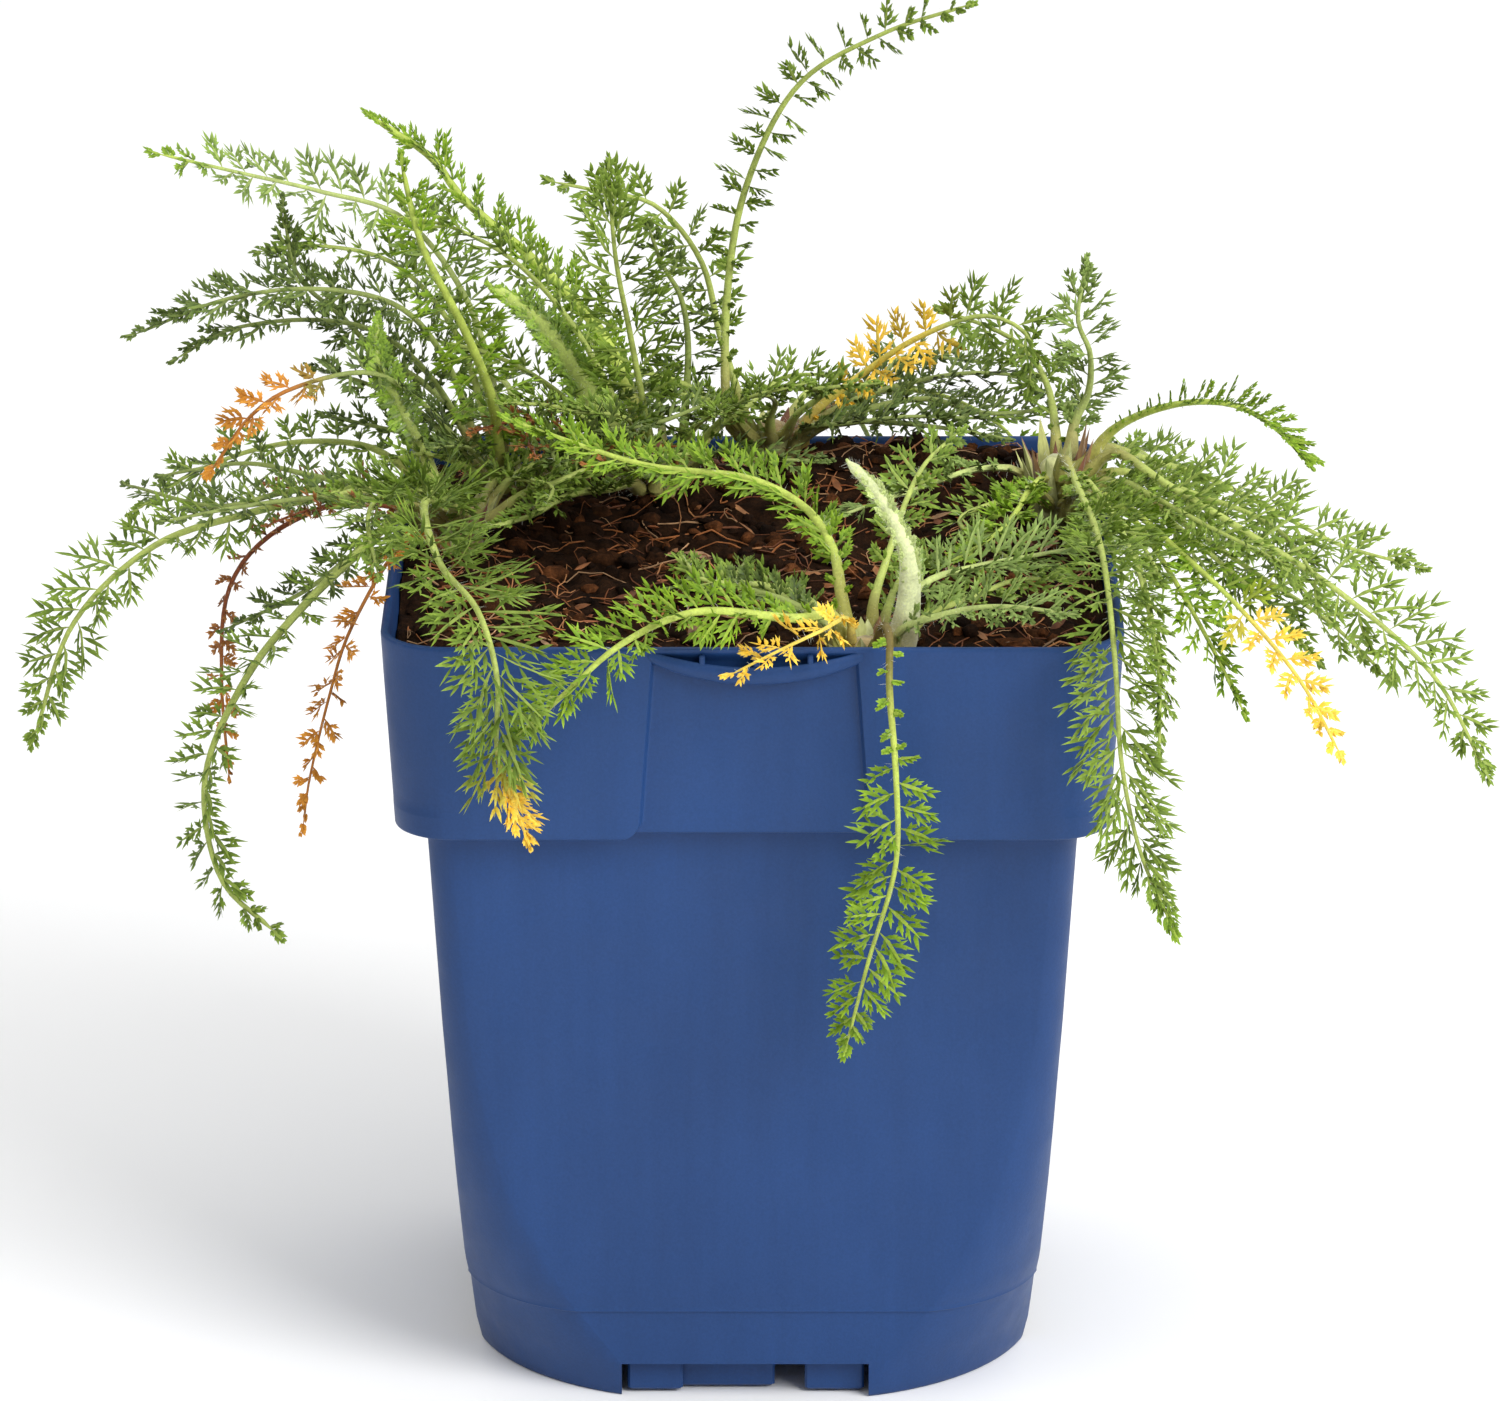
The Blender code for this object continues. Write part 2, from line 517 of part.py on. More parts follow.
def make_crown(key):
    """A woody bud: a plain stub in its hole, then scaly steps up to a blunt top."""
    x, y, rise, radius = CROWNS[key]
    ground = soil_height(x, y)
    levels = (
        (-CROWN_DEPTH, 1.0), (1.2, 1.0), (1.2 + rise * 0.35, 0.86), (1.2 + rise * 0.4, 0.96),
        (1.2 + rise * 0.75, 0.74), (1.2 + rise * 0.8, 0.82), (1.2 + rise, 0.45),
    )
    rings = []
    for above, share in levels:
        ring = []
        for index in range(CROWN_SIDES):
            turn = index / CROWN_SIDES * 2 * math.pi
            reach = radius * share * math.cos(math.pi / CROWN_SIDES)
            ring.append((x + reach * math.cos(turn), y + reach * math.sin(turn), ground + above))
        rings.append(ring)
    return make_object("crown_" + key, *loft(rings), CROWN_BROWN)


def unit(vector):
    vector = np.asarray(vector, float)
    return vector / np.linalg.norm(vector)


class Route:
    """A smooth line through a frond's points, with its direction, side and upper side at any length."""

    def __init__(self, points, face):
        points = [np.array(point, float) for point in points]
        ends = [2 * points[0] - points[1], *points, 2 * points[-1] - points[-2]]
        line = []
        for index in range(1, len(ends) - 2):
            before, start, stop, after = ends[index - 1:index + 3]
            for step in range(DENSE):
                s = step / DENSE
                line.append(0.5 * (
                    2 * start + (stop - before) * s + (2 * before - 5 * start + 4 * stop - after) * s ** 2
                    + (3 * start - before - 3 * stop + after) * s ** 3
                ))
        line.append(points[-1])
        self.line = np.array(line)
        steps = np.linalg.norm(np.diff(self.line, axis=0), axis=1)
        self.along = np.concatenate([[0], np.cumsum(steps)])
        self.length = self.along[-1]
        self.face = unit(face)

    def at(self, length):
        place = np.array([np.interp(length, self.along, self.line[:, axis]) for axis in range(3)])
        reach = 2.0
        ahead = min(length + reach, self.length)
        behind = max(length - reach, 0)
        onward = unit([
            np.interp(ahead, self.along, line) - np.interp(behind, self.along, line) for line in self.line.T
        ])
        side = unit(np.cross(onward, self.face))
        return place, onward, side, np.cross(side, onward)


def root_of(crown, first):
    """The foot of a frond, beside its crown in the direction of its first point."""
    x, y, rise, radius = CROWNS[crown]
    away = unit((first[0] - x, first[1] - y))
    reach = radius + ROOT_CLEAR
    ground = soil_height(x, y)
    height = min(max(first[2] - 4, ground + 1.6), ground + 0.7 + rise)
    return (x + reach * away[0], y + reach * away[1], height)


class Leaflet:
    def __init__(self, segment, hand, length, sweep, lift, twist, lobed):
        self.segment, self.hand, self.length = segment, hand, length
        self.sweep, self.lift, self.twist, self.lobed = sweep, lift, twist, lobed
        self.share = 1.0
        self.extra = 0.0


def leaflet_points(leaflet, rings, more=0.0):
    """The outline from the midrib's nearer corner to its farther one, then the raised middle."""
    first = rings[leaflet.segment]
    second = rings[leaflet.segment + 1]
    corner = 1 if leaflet.hand > 0 else 3
    near, far = first["points"][corner], second["points"][corner]
    onward, side, upper = first["onward"], first["side"] * leaflet.hand, first["upper"]
    lift = math.radians(leaflet.lift + leaflet.extra)
    sweep = math.radians(leaflet.sweep)
    out = math.cos(lift) * side + math.sin(lift) * upper
    out = unit(math.cos(sweep) * out + math.sin(sweep) * onward)
    wide = unit(onward - np.dot(onward, out) * out)
    face = np.cross(out, wide) * leaflet.hand
    twist = math.radians(leaflet.twist)
    wide, face = (
        math.cos(twist) * wide + math.sin(twist) * face,
        math.cos(twist) * face - math.sin(twist) * wide,
    )
    length = leaflet.length * leaflet.share + more
    root = 0.5 * (near + far)
    pitch = np.linalg.norm(far - near)
    lobe = min(0.30 * length, 0.43 * pitch) + more
    neck = min(NECK, 0.3 * pitch) + more * 0.5

    def place(along, across, raised=0.0):
        reach = along * length
        return root + out * reach + wide * across + face * (raised - DROOP * reach * reach)

    if leaflet.lobed:
        outline = [
            place(0.22, -neck), place(0.58, -lobe), place(0.66, -0.42 * lobe), place(1.0, 0.1),
            place(0.72, 0.46 * lobe), place(0.70, lobe), place(0.24, neck),
        ]
    else:
        outline = [
            place(0.22, -neck), place(0.56, -0.8 * lobe), place(1.0, 0.1), place(0.64, 0.8 * lobe),
            place(0.24, neck),
        ]
    return [near, *outline, far], place(0.46, 0.0, LEAFLET_THICK + more), -more * face


def leaflet_triangles(leaflet, rings, more=0.0):
    """The triangles of one leaflet as coordinates, facing out: a raised upper side on a flat underside."""
    outline, middle, sunk = leaflet_points(leaflet, rings, more)
    low, _, under_low, _ = rings[leaflet.segment]["points"]
    high, _, under_high, _ = rings[leaflet.segment + 1]["points"]
    near, *edge, far = outline
    top = [(low, near, edge[0]), (low, edge[0], middle)]
    top += [(middle, start, stop) for start, stop in zip(edge[:-1], edge[1:])]
    top += [(middle, edge[-1], high), (edge[-1], far, high), (low, middle, high)]
    foot = [
        (under_low, near, edge[0]), (under_low, edge[0], edge[-1]), (under_low, edge[-1], under_high),
        (edge[-1], far, under_high),
    ]
    if leaflet.lobed:
        foot += [
            (edge[0], edge[1], edge[2]), (edge[2], edge[3], edge[4]), (edge[4], edge[5], edge[6]),
            (edge[0], edge[2], edge[4]), (edge[0], edge[4], edge[6]),
        ]
    else:
        foot += [(edge[1], edge[2], edge[3]), (edge[0], edge[1], edge[3]), (edge[0], edge[3], edge[4])]
    top = [(a, b, c) if leaflet.hand > 0 else (a, c, b) for a, b, c in top]
    foot = [(a, c, b) if leaflet.hand > 0 else (a, b, c) for a, b, c in foot]
    if more:
        foot = [tuple(corner + sunk for corner in triangle) for triangle in foot]
    return top + foot


class Frond:
    def __init__(self, entry, draw):
        self.name, crown, self.look, face, reach, pairs, bare, lobed, points = entry
        self.route = Route((root_of(crown, points[0]), *points), face)
        length = self.route.length
        start = bare * length
        tail = min(6.0, 0.8 * reach)
        marks = [start * step / STALK_STEPS for step in range(STALK_STEPS)]
        leafy = length - tail - start
        for step in range(pairs + 1):
            share = step / pairs
            marks.append(start + leafy * (share * 1.12 - 0.12 * share * share))
        self.rings = []
        for mark in marks:
            place, onward, side, upper = self.route.at(mark)
            radius = STALK_RADIUS + (TIP_RADIUS - STALK_RADIUS) * mark / length
            raised, out = upper * radius, side * radius
            corners = [place + raised, place + out, place - raised, place - out]
            self.rings.append({"points": corners, "onward": onward, "side": side, "upper": upper})
        self.leaflets = {}
        for step in range(pairs):
            share = (step + 0.5) / pairs
            size = reach * min(1.0, 0.5 + 2.2 * share) * min(1.0, 0.42 + 1.5 * (1 - share))
            for hand in (1, -1):
                self.leaflets[STALK_STEPS + step, hand] = Leaflet(
                    STALK_STEPS + step, hand, size * draw.uniform(0.86, 1.08),
                    SWEEP + 16 * share + draw.uniform(-5, 5), LIFT + draw.uniform(-9, 9),
                    draw.uniform(-16, 16), lobed,
                )
        place, onward, side, upper = self.route.at(length)
        wing = 0.34 * tail
        mid, _, mid_side, _ = self.route.at(length - 0.55 * tail)
        self.tip = [mid + mid_side * wing, place, mid - mid_side * wing]

    def stem_triangles(self):
        """The midrib and the end leaflet, with the sides that no leaflet takes."""
        triangles = []
        last = len(self.rings) - 1
        for index in range(last):
            first, second = self.rings[index]["points"], self.rings[index + 1]["points"]
            for a, b in ((0, 1), (1, 2), (2, 3), (3, 0)):
                hand = 1 if (a, b) in ((0, 1), (1, 2)) else -1
                if (index, hand) in self.leaflets:
                    continue
                triangles.append((first[a], first[b], second[b]))
                triangles.append((first[a], second[b], second[a]))
        top, right, low, left = self.rings[last]["points"]
        wing_right, end, wing_left = self.tip
        outline = [right, wing_right, end, wing_left, left]
        for start, stop in zip(outline[:-1], outline[1:]):
            triangles.append((top, start, stop))
            triangles.append((low, stop, start))
        top, right, low, left = self.rings[0]["points"]
        triangles.append((top, left, low))
        triangles.append((top, low, right))
        return triangles

    def triangles(self):
        found = self.stem_triangles()
        for leaflet in self.leaflets.values():
            found += leaflet_triangles(leaflet, self.rings)
        return found


def tree_of(triangles):
    points = [tuple(corner) for triangle in triangles for corner in triangle]
    faces = [(3 * index, 3 * index + 1, 3 * index + 2) for index in range(len(triangles))]
    return BVHTree.FromPolygons(points, faces)


def object_triangles(made):
    mesh = made.data
    mesh.calc_loop_triangles()
    corners = [np.array(vertex.co) / MM for vertex in mesh.vertices]
    return [tuple(corners[index] for index in face.vertices) for face in mesh.loop_triangles]


def clear_leaflets(frond, placed):
    """Bends, shortens or leaves out the leaflets that would touch what already stands there."""
    others = tree_of(placed)
    own = []
    for key in sorted(frond.leaflets):
        leaflet = frond.leaflets[key]
        for share, extra in TRIES:
            leaflet.share, leaflet.extra = share, extra
            grown = tree_of(leaflet_triangles(leaflet, frond.rings, CLEARANCE))
            if grown.overlap(others):
                continue
            plain = leaflet_triangles(leaflet, frond.rings)
            near = [other for segment, other in own if segment[1] == key[1] and key[0] - segment[0] < 5]
            touching = False
            for other in near:
                hits = tree_of(plain[2:6]).overlap(tree_of(other[2:6]))
                touching = touching or bool(hits)
            if not touching:
                own.append((key, plain))
                break
        else:
            del frond.leaflets[key]


def mesh_of(name, triangles, look):
    """Welds loose triangles into one closed body."""
    index = {}
    points = []
    faces = []
    for triangle in triangles:
        face = []
        for corner in triangle:
            key = tuple(round(float(value), 4) for value in corner)
            if key not in index:
                index[key] = len(points)
                points.append(key)
            face.append(index[key])
        faces.append(tuple(face))
    return make_object(name, points, faces, look)


def make_plant():
    pot = make_pot()
    soil = make_soil()
    crowns = [make_crown(key) for key in CROWNS]
    placed = []
    for made in (pot, soil, *crowns):
        placed += object_triangles(made)
    draw = random.Random(FROND_SEED)
    fronds = [Frond(entry, draw) for entry in FRONDS]
    for frond in fronds:
        # Other fronds' midribs count as standing there from the start, so leaflets keep clear of them all.
        others = placed + [tri for other in fronds if other is not frond for tri in core_of(other)]
        clear_leaflets(frond, others)
        placed += frond.triangles()
        mesh_of("frond_" + frond.name, frond.triangles(), frond.look)
    return fronds, placed


def core_of(frond):
    """A frond's midrib alone, with no gaps for leaflets, as a plain closed tube."""
    triangles = []
    for first, second in zip(frond.rings[:-1], frond.rings[1:]):
        first, second = first["points"], second["points"]
        for a, b in ((0, 1), (1, 2), (2, 3), (3, 0)):
            triangles.append((first[a], first[b], second[b]))
            triangles.append((first[a], second[b], second[a]))
    return triangles


for leftover in list(bpy.data.objects):
    bpy.data.objects.remove(leftover)
PLANT = make_plant()
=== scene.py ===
import json
import math

import bpy
import numpy as np
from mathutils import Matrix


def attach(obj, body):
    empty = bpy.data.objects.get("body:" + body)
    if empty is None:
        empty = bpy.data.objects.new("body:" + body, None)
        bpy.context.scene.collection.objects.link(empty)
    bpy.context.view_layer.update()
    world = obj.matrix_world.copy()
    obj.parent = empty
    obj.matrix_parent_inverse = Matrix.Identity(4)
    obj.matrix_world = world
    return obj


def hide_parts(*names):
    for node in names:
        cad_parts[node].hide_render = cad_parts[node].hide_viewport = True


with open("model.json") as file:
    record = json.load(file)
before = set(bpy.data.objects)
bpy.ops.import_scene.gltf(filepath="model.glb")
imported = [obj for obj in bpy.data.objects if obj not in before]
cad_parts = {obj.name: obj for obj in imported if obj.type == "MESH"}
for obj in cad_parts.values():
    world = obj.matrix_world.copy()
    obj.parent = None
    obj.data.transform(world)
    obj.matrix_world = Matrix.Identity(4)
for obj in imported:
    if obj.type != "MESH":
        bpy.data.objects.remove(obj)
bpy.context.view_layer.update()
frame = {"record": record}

MM = 0.001  # lengths below are millimetres, and Blender's are metres

# The camera: a long lens well in front, looking down by about eighteen degrees
CAMERA_PLACE = (-0.37, -1300.0, 525.8)
CAMERA_TILT = 0.318
SENSOR_WIDTH = 36.0
LENS = 214.1
CAMERA_REACH = 20  # metres

# The pot, as in the CAD
RIM_HALF = 55.0
POT_HEIGHT = 124.0
COLLAR_HEIGHT = 30.5
COLLAR_FOOT = POT_HEIGHT - COLLAR_HEIGHT
COLLAR_FOOT_HALF = 53.2
SHOULDER_HALF = 48.5
BAND_HEIGHT = 14.5
WALL = 1.3
RIM_CORNER = 10.0
COLLAR_CORNER = 9.0
CREASE = math.radians(14.6)  # the body's corners meet its flat sides at this angle
# Height, half width and corner of the body
BODY = (
    (0.0, 42.6, 26.0), (4.5, 42.9, 23.6), (9.4, 43.2, 20.2), (14.4, 43.5, 16.9), (18.5, 44.0, 14.6),
    (25.5, 44.4, 11.3), (33.5, 44.9, 8.4), (42.5, 45.45, 6.4), (52.0, 46.0, 5.0), (61.0, 46.6, 4.3),
    (75.0, 47.4, 3.9), (93.5, 48.5, 3.9),
)
FLOOR_UNDERSIDE = 6.2
FLOOR_THICK = 1.5
PANEL_TOP_HALF = 14.7
PANEL_FOOT_HALF = 16.9
PANEL_ROUND = 2.8  # the wings' lower inner corners
PANEL_DEPTH = 1.1
PANEL_CENTRE = 0.5
PANEL_RISE = 0.8  # the collar's lower edge is this much higher under the panel
NOTCH_HALF = 18.8
NOTCH_CENTRE = -1.1
NOTCH_HEIGHT = 5.7
DRAIN_SPREAD = 24.0
DRAIN_RADIUS = 3.5
LIP_CENTRE = 0.5
LIP_HALF = 15.8
LIP_BOW = 1.5
LIP_DIP = 2.1
LIP_TALL = 1.2  # half the height of the rolled bead along the lip
RIB_AT = (-7.4, 0.5, 8.5)
# Blocks in the front and back notches: low and high x, near and far distance from the middle
FOOT_BLOCKS = ((-19.0, -10.6, 36.0, 40.4), (-11.4, 3.4, 34.0, 38.9), (8.0, 17.0, 36.0, 40.4))
FOOT_BLOCK_UNDERSIDE = 0.5
CORNER_STEPS = 14
WING_STEPS = 9
PANEL_STEPS = 30
# Across one edge of the panel: distance outward from the edge, and the share of the panel's depth there
STEP_PROFILE = (
    (0.62, 0.0), (0.40, 0.02), (0.26, 0.16), (0.08, 0.56), (-0.08, 0.86), (-0.24, 0.98), (-0.5, 1.0),
)

# The soil, as in the CAD; a mound, or a hollow, has a height, its x and y, and its reach along each
SOIL_BASE = 118.6
SOIL_EDGE_TOP = 119.4
MOUNDS = ((6.5, 30, 36, 26, 20), (4.0, -4, 40, 30, 16), (1.8, -42, 10, 20, 26), (-3.0, -4, -26, 30, 18))
ROUGHNESS = ((0.9, 7.0), (0.75, 3.1), (0.5, 1.5), (0.3, 0.8))  # height and width of the lumps of its top

# The crowns: x, y, height of the bud above the soil, radius
CROWNS = {
    "a": (-15, 33, 4.0, 4.2),
    "b": (17, -44, 3.0, 3.6),
    "c": (47, 20, 9.0, 3.6),
    "d": (3, 43, 4.5, 3.4),
    "e": (-45, 7, 6.0, 3.6),
    "f": (-37, 27, 4.0, 3.6),
}

# Which way a frond's upper side looks
FACES = {
    "open": (0.0, -0.50, 0.87), "front": (0.0, -0.90, 0.44), "up": (0.0, -0.15, 0.99),
    "left": (-0.60, -0.45, 0.66), "right": (0.60, -0.45, 0.66), "back": (0.0, 0.35, 0.94),
}

# One frond on a line, its midrib as in the CAD: name, crown, palette, upper side, reach of its longest
# leaflets, bare share of its length, habit, and the points of its midrib as x, y and z
FRONDS = """
tall d green front 5.58 0.3 stacked  -4 42 132  -4 46 149  -1 46 167  7 43 184  20 40 193  33 38 198
far_left_high f grey open 7.56 0.22 open  -39 32 132  -44 38 150  -54 38 164
  -67 36 169  -79 32 173  -91 28 177
long_up a fresh open 6.8 0.18 narrow  -18 36 133  -24 42 145  -34 46 155  -45 46 165  -50 45 172  -59 43 179
far_right c green open 9.2 0.2 open  56 15 133  63 2 132  75 -7 127  89 -12 119  103 -15 107  111 -18 93
far_left_low e green open 8.6 0.2 open  -54 6 130  -63 0 131  -77 -4 129
  -91 -8 125  -103 -12 114  -109 -14 97
bush_front e green open 13.05 0.1 dense  -44 -6 130  -49 -24 137  -46 -48 135  -40 -62 132
  -37 -70 124  -37 -72 113  -33 -70 100
corner_droop c green front 9.9 0.32 dense  48 12 133  49 -8 135  51 -30 135  52 -50 133
  53 -62 123  54 -64 109  57 -63 95  62 -62 83
front_hang b fresh front 7.74 0.38 stacked  19 -51 126  20 -58 127  20 -63 120  21 -64 107
  21 -63 93  17 -61 77  14 -60 64
left_droop e green left 7.31 0.2 stacked  -52 -4 130  -60 -16 126  -68 -24 120  -76 -30 111
  -82 -34 97  -80 -36 82  -72 -38 74
rim_left b fresh open 8.075 0.2 dense  12 -48 127  6 -53 128  -8 -56 130
  -19 -62 127  -28 -66 120  -36 -68 113
centre_long b fresh open 7.5 0.16 dense  13 -38 128  12 -32 132  8 -24 136
  -1 -18 139  -17 -14 140  -36 -12 146
right_high c green open 7.74 0.12 open  54 22 132  62 24 129  70 26 126  80 26 121  91 26 115  103 24 112
left_front_up f fresh front 7.74 0.1 stacked  -39 21 129  -40 14 142  -44 8 155  -50 4 169  -53 6 181
left_dark f dark open 6.56 0.24 dense  -43 25 132  -47 20 146  -54 16 156  -66 12 160  -80 10 159  -94 8 154
left_dark_low f dark front 6.02 0.3 dense  -43 31 131  -50 30 139  -58 26 146
  -63 24 152  -70 24 159  -72 24 170
left_orange f dark open 6.02 0.2 open  -43 20 130  -50 10 142  -58 4 149  -69 0 148  -76 -2 144  -82 -4 136
left_mid e green open 6.02 0.12 open  -53 12 131  -59 15 134  -68 18 134  -77 20 132  -87 20 128  -95 18 123
left_small e dark open 5.16 0.12 open  -53 2 127  -58 -4 125  -68 -8 118  -80 -8 112
dead_brown e brown left 3.44 0.25 dry  -54 8 127  -63 9 127  -74 4 123  -80 -2 116  -81 -6 103  -80 -8 88
dead_orange e orange left 4.73 0.22 dry  -50 -3 125  -54 -22 128  -60 -34 120
  -63 -37 111  -66 -40 99  -67 -42 92
young_light e young front 4.8 0.28 folded  -49 13 128  -51 12 135  -54 8 143  -57 7 150  -57 6 157
spear_big a young front 5.4 0.16 folded  -20 30 129  -25 28 138  -30 26 147  -34 23 153  -40 20 158
broad_up a green front 10.35 0.16 dense  -15 27 127  -17 24 139  -19 22 151  -21 20 163  -22 22 176
back_arch d green front 6.88 0.24 open  -1 48 129  -5 52 141  -8 53 153  -15 53 162  -24 51 165  -31 49 167
back_fan a dark front 6.02 0.2 stacked  -11 37 127  -10 38 142  -11 38 151  -14 37 157  -16 36 163
spear_white b woolly front 2.58 0.2 folded  23 -46 128  23 -46 135  21 -45 140  18 -44 145  14 -43 149
right_up b green open 5.59 0.25 open  18 -38 126  20 -33 131  23 -26 138  26 -20 142  31 -14 145
right_over b grey open 8.125 0.14 dense  22 -41 125  26 -38 129  33 -34 130
  41 -29 130  50 -27 131  55 -26 131
right_low b grey open 6.325 0.16 dense  22 -49 125  27 -52 128  33 -54 130  39 -57 131  46 -60 131
inner_left b dark open 4.73 0.15 dense  11 -43 124  4 -40 127  -4 -37 128  -12 -35 127
label_yellow b yellow open 5.5 0.24 dry  14 -50 127  10 -59 128  4 -62 126  -3 -64 123
soil_left a green up 4.73 0.14 dense  -19 26 125  -22 16 127  -28 6 129  -34 -2 128  -42 -6 127
soil_right c grey up 5.16 0.16 dense  41 19 129  34 16 130  26 10 129  18 4 128  8 -2 126
right_soil_front c fresh up 5.59 0.2 dense  45 15 129  42 4 130  40 -6 130  36 -16 129  28 -22 126
c_up c grey front 8.05 0.12 dense  50 26 135  52 25 140  52 22 147  50 20 153  51 20 161
c_back c green front 6.02 0.16 open  47 27 133  46 34 138  43 40 142  38 42 145  30 42 148
young_right c fresh open 5.525 0.14 comb  55 19 135  60 16 139  67 12 142  74 10 142  80 8 139  85 6 134
right_mid c green open 6.88 0.16 open  53 17 128  60 12 127  69 7 122  78 2 117  88 -1 111  97 -4 103
yellow_right c fresh open 6.02 0.26 open  52 13 127  57 4 128  64 -8 125  73 -18 119  82 -26 110  88 -31 100
right_back_low c green right 4.73 0.34 dense  49 12 127  55 0 128  59 -14 122  61 -26 111  61 -32 100
yellow_arch d green front 7.15 0.18 open  9 42 131  17 41 138  26 38 145  36 36 149  43 34 146  43 32 139
soil_back d dark up 6.02 0.12 dense  8 38 130  15 31 133  24 28 135  36 27 135
back_left_hang f green back 7.31 0.24 open  -37 33 128  -38 46 134  -42 58 132  -48 67 122  -52 72 109
back_centre_hang a dark back 6.88 0.26 open  -14 39 127  -15 51 132  -18 61 129  -21 68 119  -23 72 106
back_right_hang d green back 7.31 0.26 open  5 48 128  10 58 131  16 66 125  21 70 113  24 72 99
back_corner_long c green back 7.31 0.2 open  54 27 128  59 38 127  64 50 120  69 60 108  72 66 95
back_high d fresh back 6.88 0.2 open  10 46 130  20 52 132  30 57 130  40 62 123  47 66 112
"""

# Thickets: crown, palette, habit, steepness in degrees, reach of the leaflets, bearings and lengths
THICKETS = (
    ("a", "green", "dense", 62, 5.16, (186, 222, 255, 292, 332, 20, 120), (38, 34, 30, 33, 30, 26, 30)),
    ("a", "dark", "dense", 40, 4.73, (200, 240, 272, 310), (30, 27, 30, 26)),
    ("f", "dark", "dense", 58, 5.16, (178, 214, 250, 300, 345, 30), (34, 30, 28, 32, 30, 28)),
    ("f", "green", "dense", 42, 4.73, (236, 280, 320), (28, 30, 28)),
    ("e", "green", "dense", 46, 5.16, (60, 30, 350, 262, 232), (26, 24, 24, 30, 34)),
    ("e", "dark", "open", 24, 4.73, (206, 186, 166), (36, 38, 34)),
    ("d", "dark", "dense", 30, 5.16, (346, 8, 28, 320), (38, 34, 28, 30)),
    ("d", "green", "dense", 55, 4.73, (200, 236, 272, 300), (26, 24, 22, 26)),
    ("b", "green", "dense", 34, 4.3, (66, 128, 158, 24), (22, 24, 26, 24)),
    ("c", "green", "dense", 12, 5.16, (338, 312, 286, 250), (36, 36, 30, 28)),
    ("a", "brown", "dry", 48, 3.87, (232, 268, 206), (26, 22, 30)),
    ("e", "brown", "dry", 30, 3.44, (172, 214), (22, 24)),
)
# Second leaves beside the long ones, in the same layout
SECOND_LEAVES = """
thicket f dark open 5.59 0.26 dense  -44 28 131  -50 24 143  -58 20 151  -68 16 154  -80 14 153  -88 12 149
thicket f green open 6.02 0.26 dense  -41 33 131  -46 36 146  -55 36 157  -66 33 161  -76 30 161
thicket a green open 6.45 0.3 dense  -20 34 132  -27 36 146  -36 36 157  -46 36 163  -55 36 165
thicket c green open 6.02 0.14 dense  54 14 129  60 6 128  68 0 123  77 -4 116  86 -8 107
thicket c green open 6.02 0.12 dense  54 21 128  61 19 128  70 17 124  80 13 117  89 9 108
thicket c fresh open 5.59 0.16 dense  53 10 128  58 0 127  63 -10 122  69 -18 113  74 -24 104
thicket c green open 6.45 0.2 dense  50 10 131  53 -6 132  56 -24 131  58 -40 128  60 -50 119
thicket e green open 7.74 0.2 dense  -49 -5 131  -55 -20 137  -57 -36 138  -55 -50 134
"""

SQUARE = ((-1, -1), (1, -1), (1, 1), (-1, 1))  # corners, anticlockwise
ROOT_CLEAR = 1.6  # a frond's route starts this far outside its crown
ROUTE_STEPS = 12  # between two points of a route
THICKET_BARE = 0.16
HAIRS_PER_MM = {"folded": 18.0, "comb": 4.0}
FEW_HAIRS_PER_MM = 1.6
BLUSH = (158, 128, 84)  # of a stalk's foot, where STALK_TONES has no other
CROWN_HAIRS = 90
BUD_SIDES = 22
SHEATHS = 16
SOIL_LEVELS = 96
CRUMBS = 900
FIBRES = 620
CHIPS = 260
# Where the draws of each part start
FROND_SEED, THICKET_SEED, THICKET_RULE_SEED, CRUMB_SEED, FIBRE_SEED, CROWN_SEED = 100, 300, 77, 21, 33, 8

# Colours from 0 to 255
POT_BLUE = (30, 62, 112)
DUST = (128, 140, 168)
HAIR = (238, 242, 224)
PEAT = (44, 26, 13)
CRUMB_TONES = ((64, 38, 20), (44, 26, 14), (92, 54, 28), (34, 20, 11))
FIBRE_TONES = ((176, 108, 58), (150, 86, 46), (196, 134, 84), (120, 70, 40), (206, 160, 116))
SHEATH_TONES = ((172, 174, 104), (150, 112, 72), (188, 192, 122), (134, 86, 64), (200, 204, 144))
BUD = (156, 134, 84)
PALE_BUD = (190, 192, 132)

# Area lights: place, aim, side in metres, power in watts
LIGHTS = {
    "overhead": ((0.0, 0.4, 1.7), (0, 0.4, 0), 3.6, 37.0),
    "key": ((0.85, -0.9, 0.95), (0, 0, 0.12), 0.8, 19.0),
    "fill": ((-1.1, -0.8, 0.7), (0, 0, 0.1), 1.0, 0.3),
}
SKY_STRENGTH = 0.42
FLOOR_HALF = 6.0

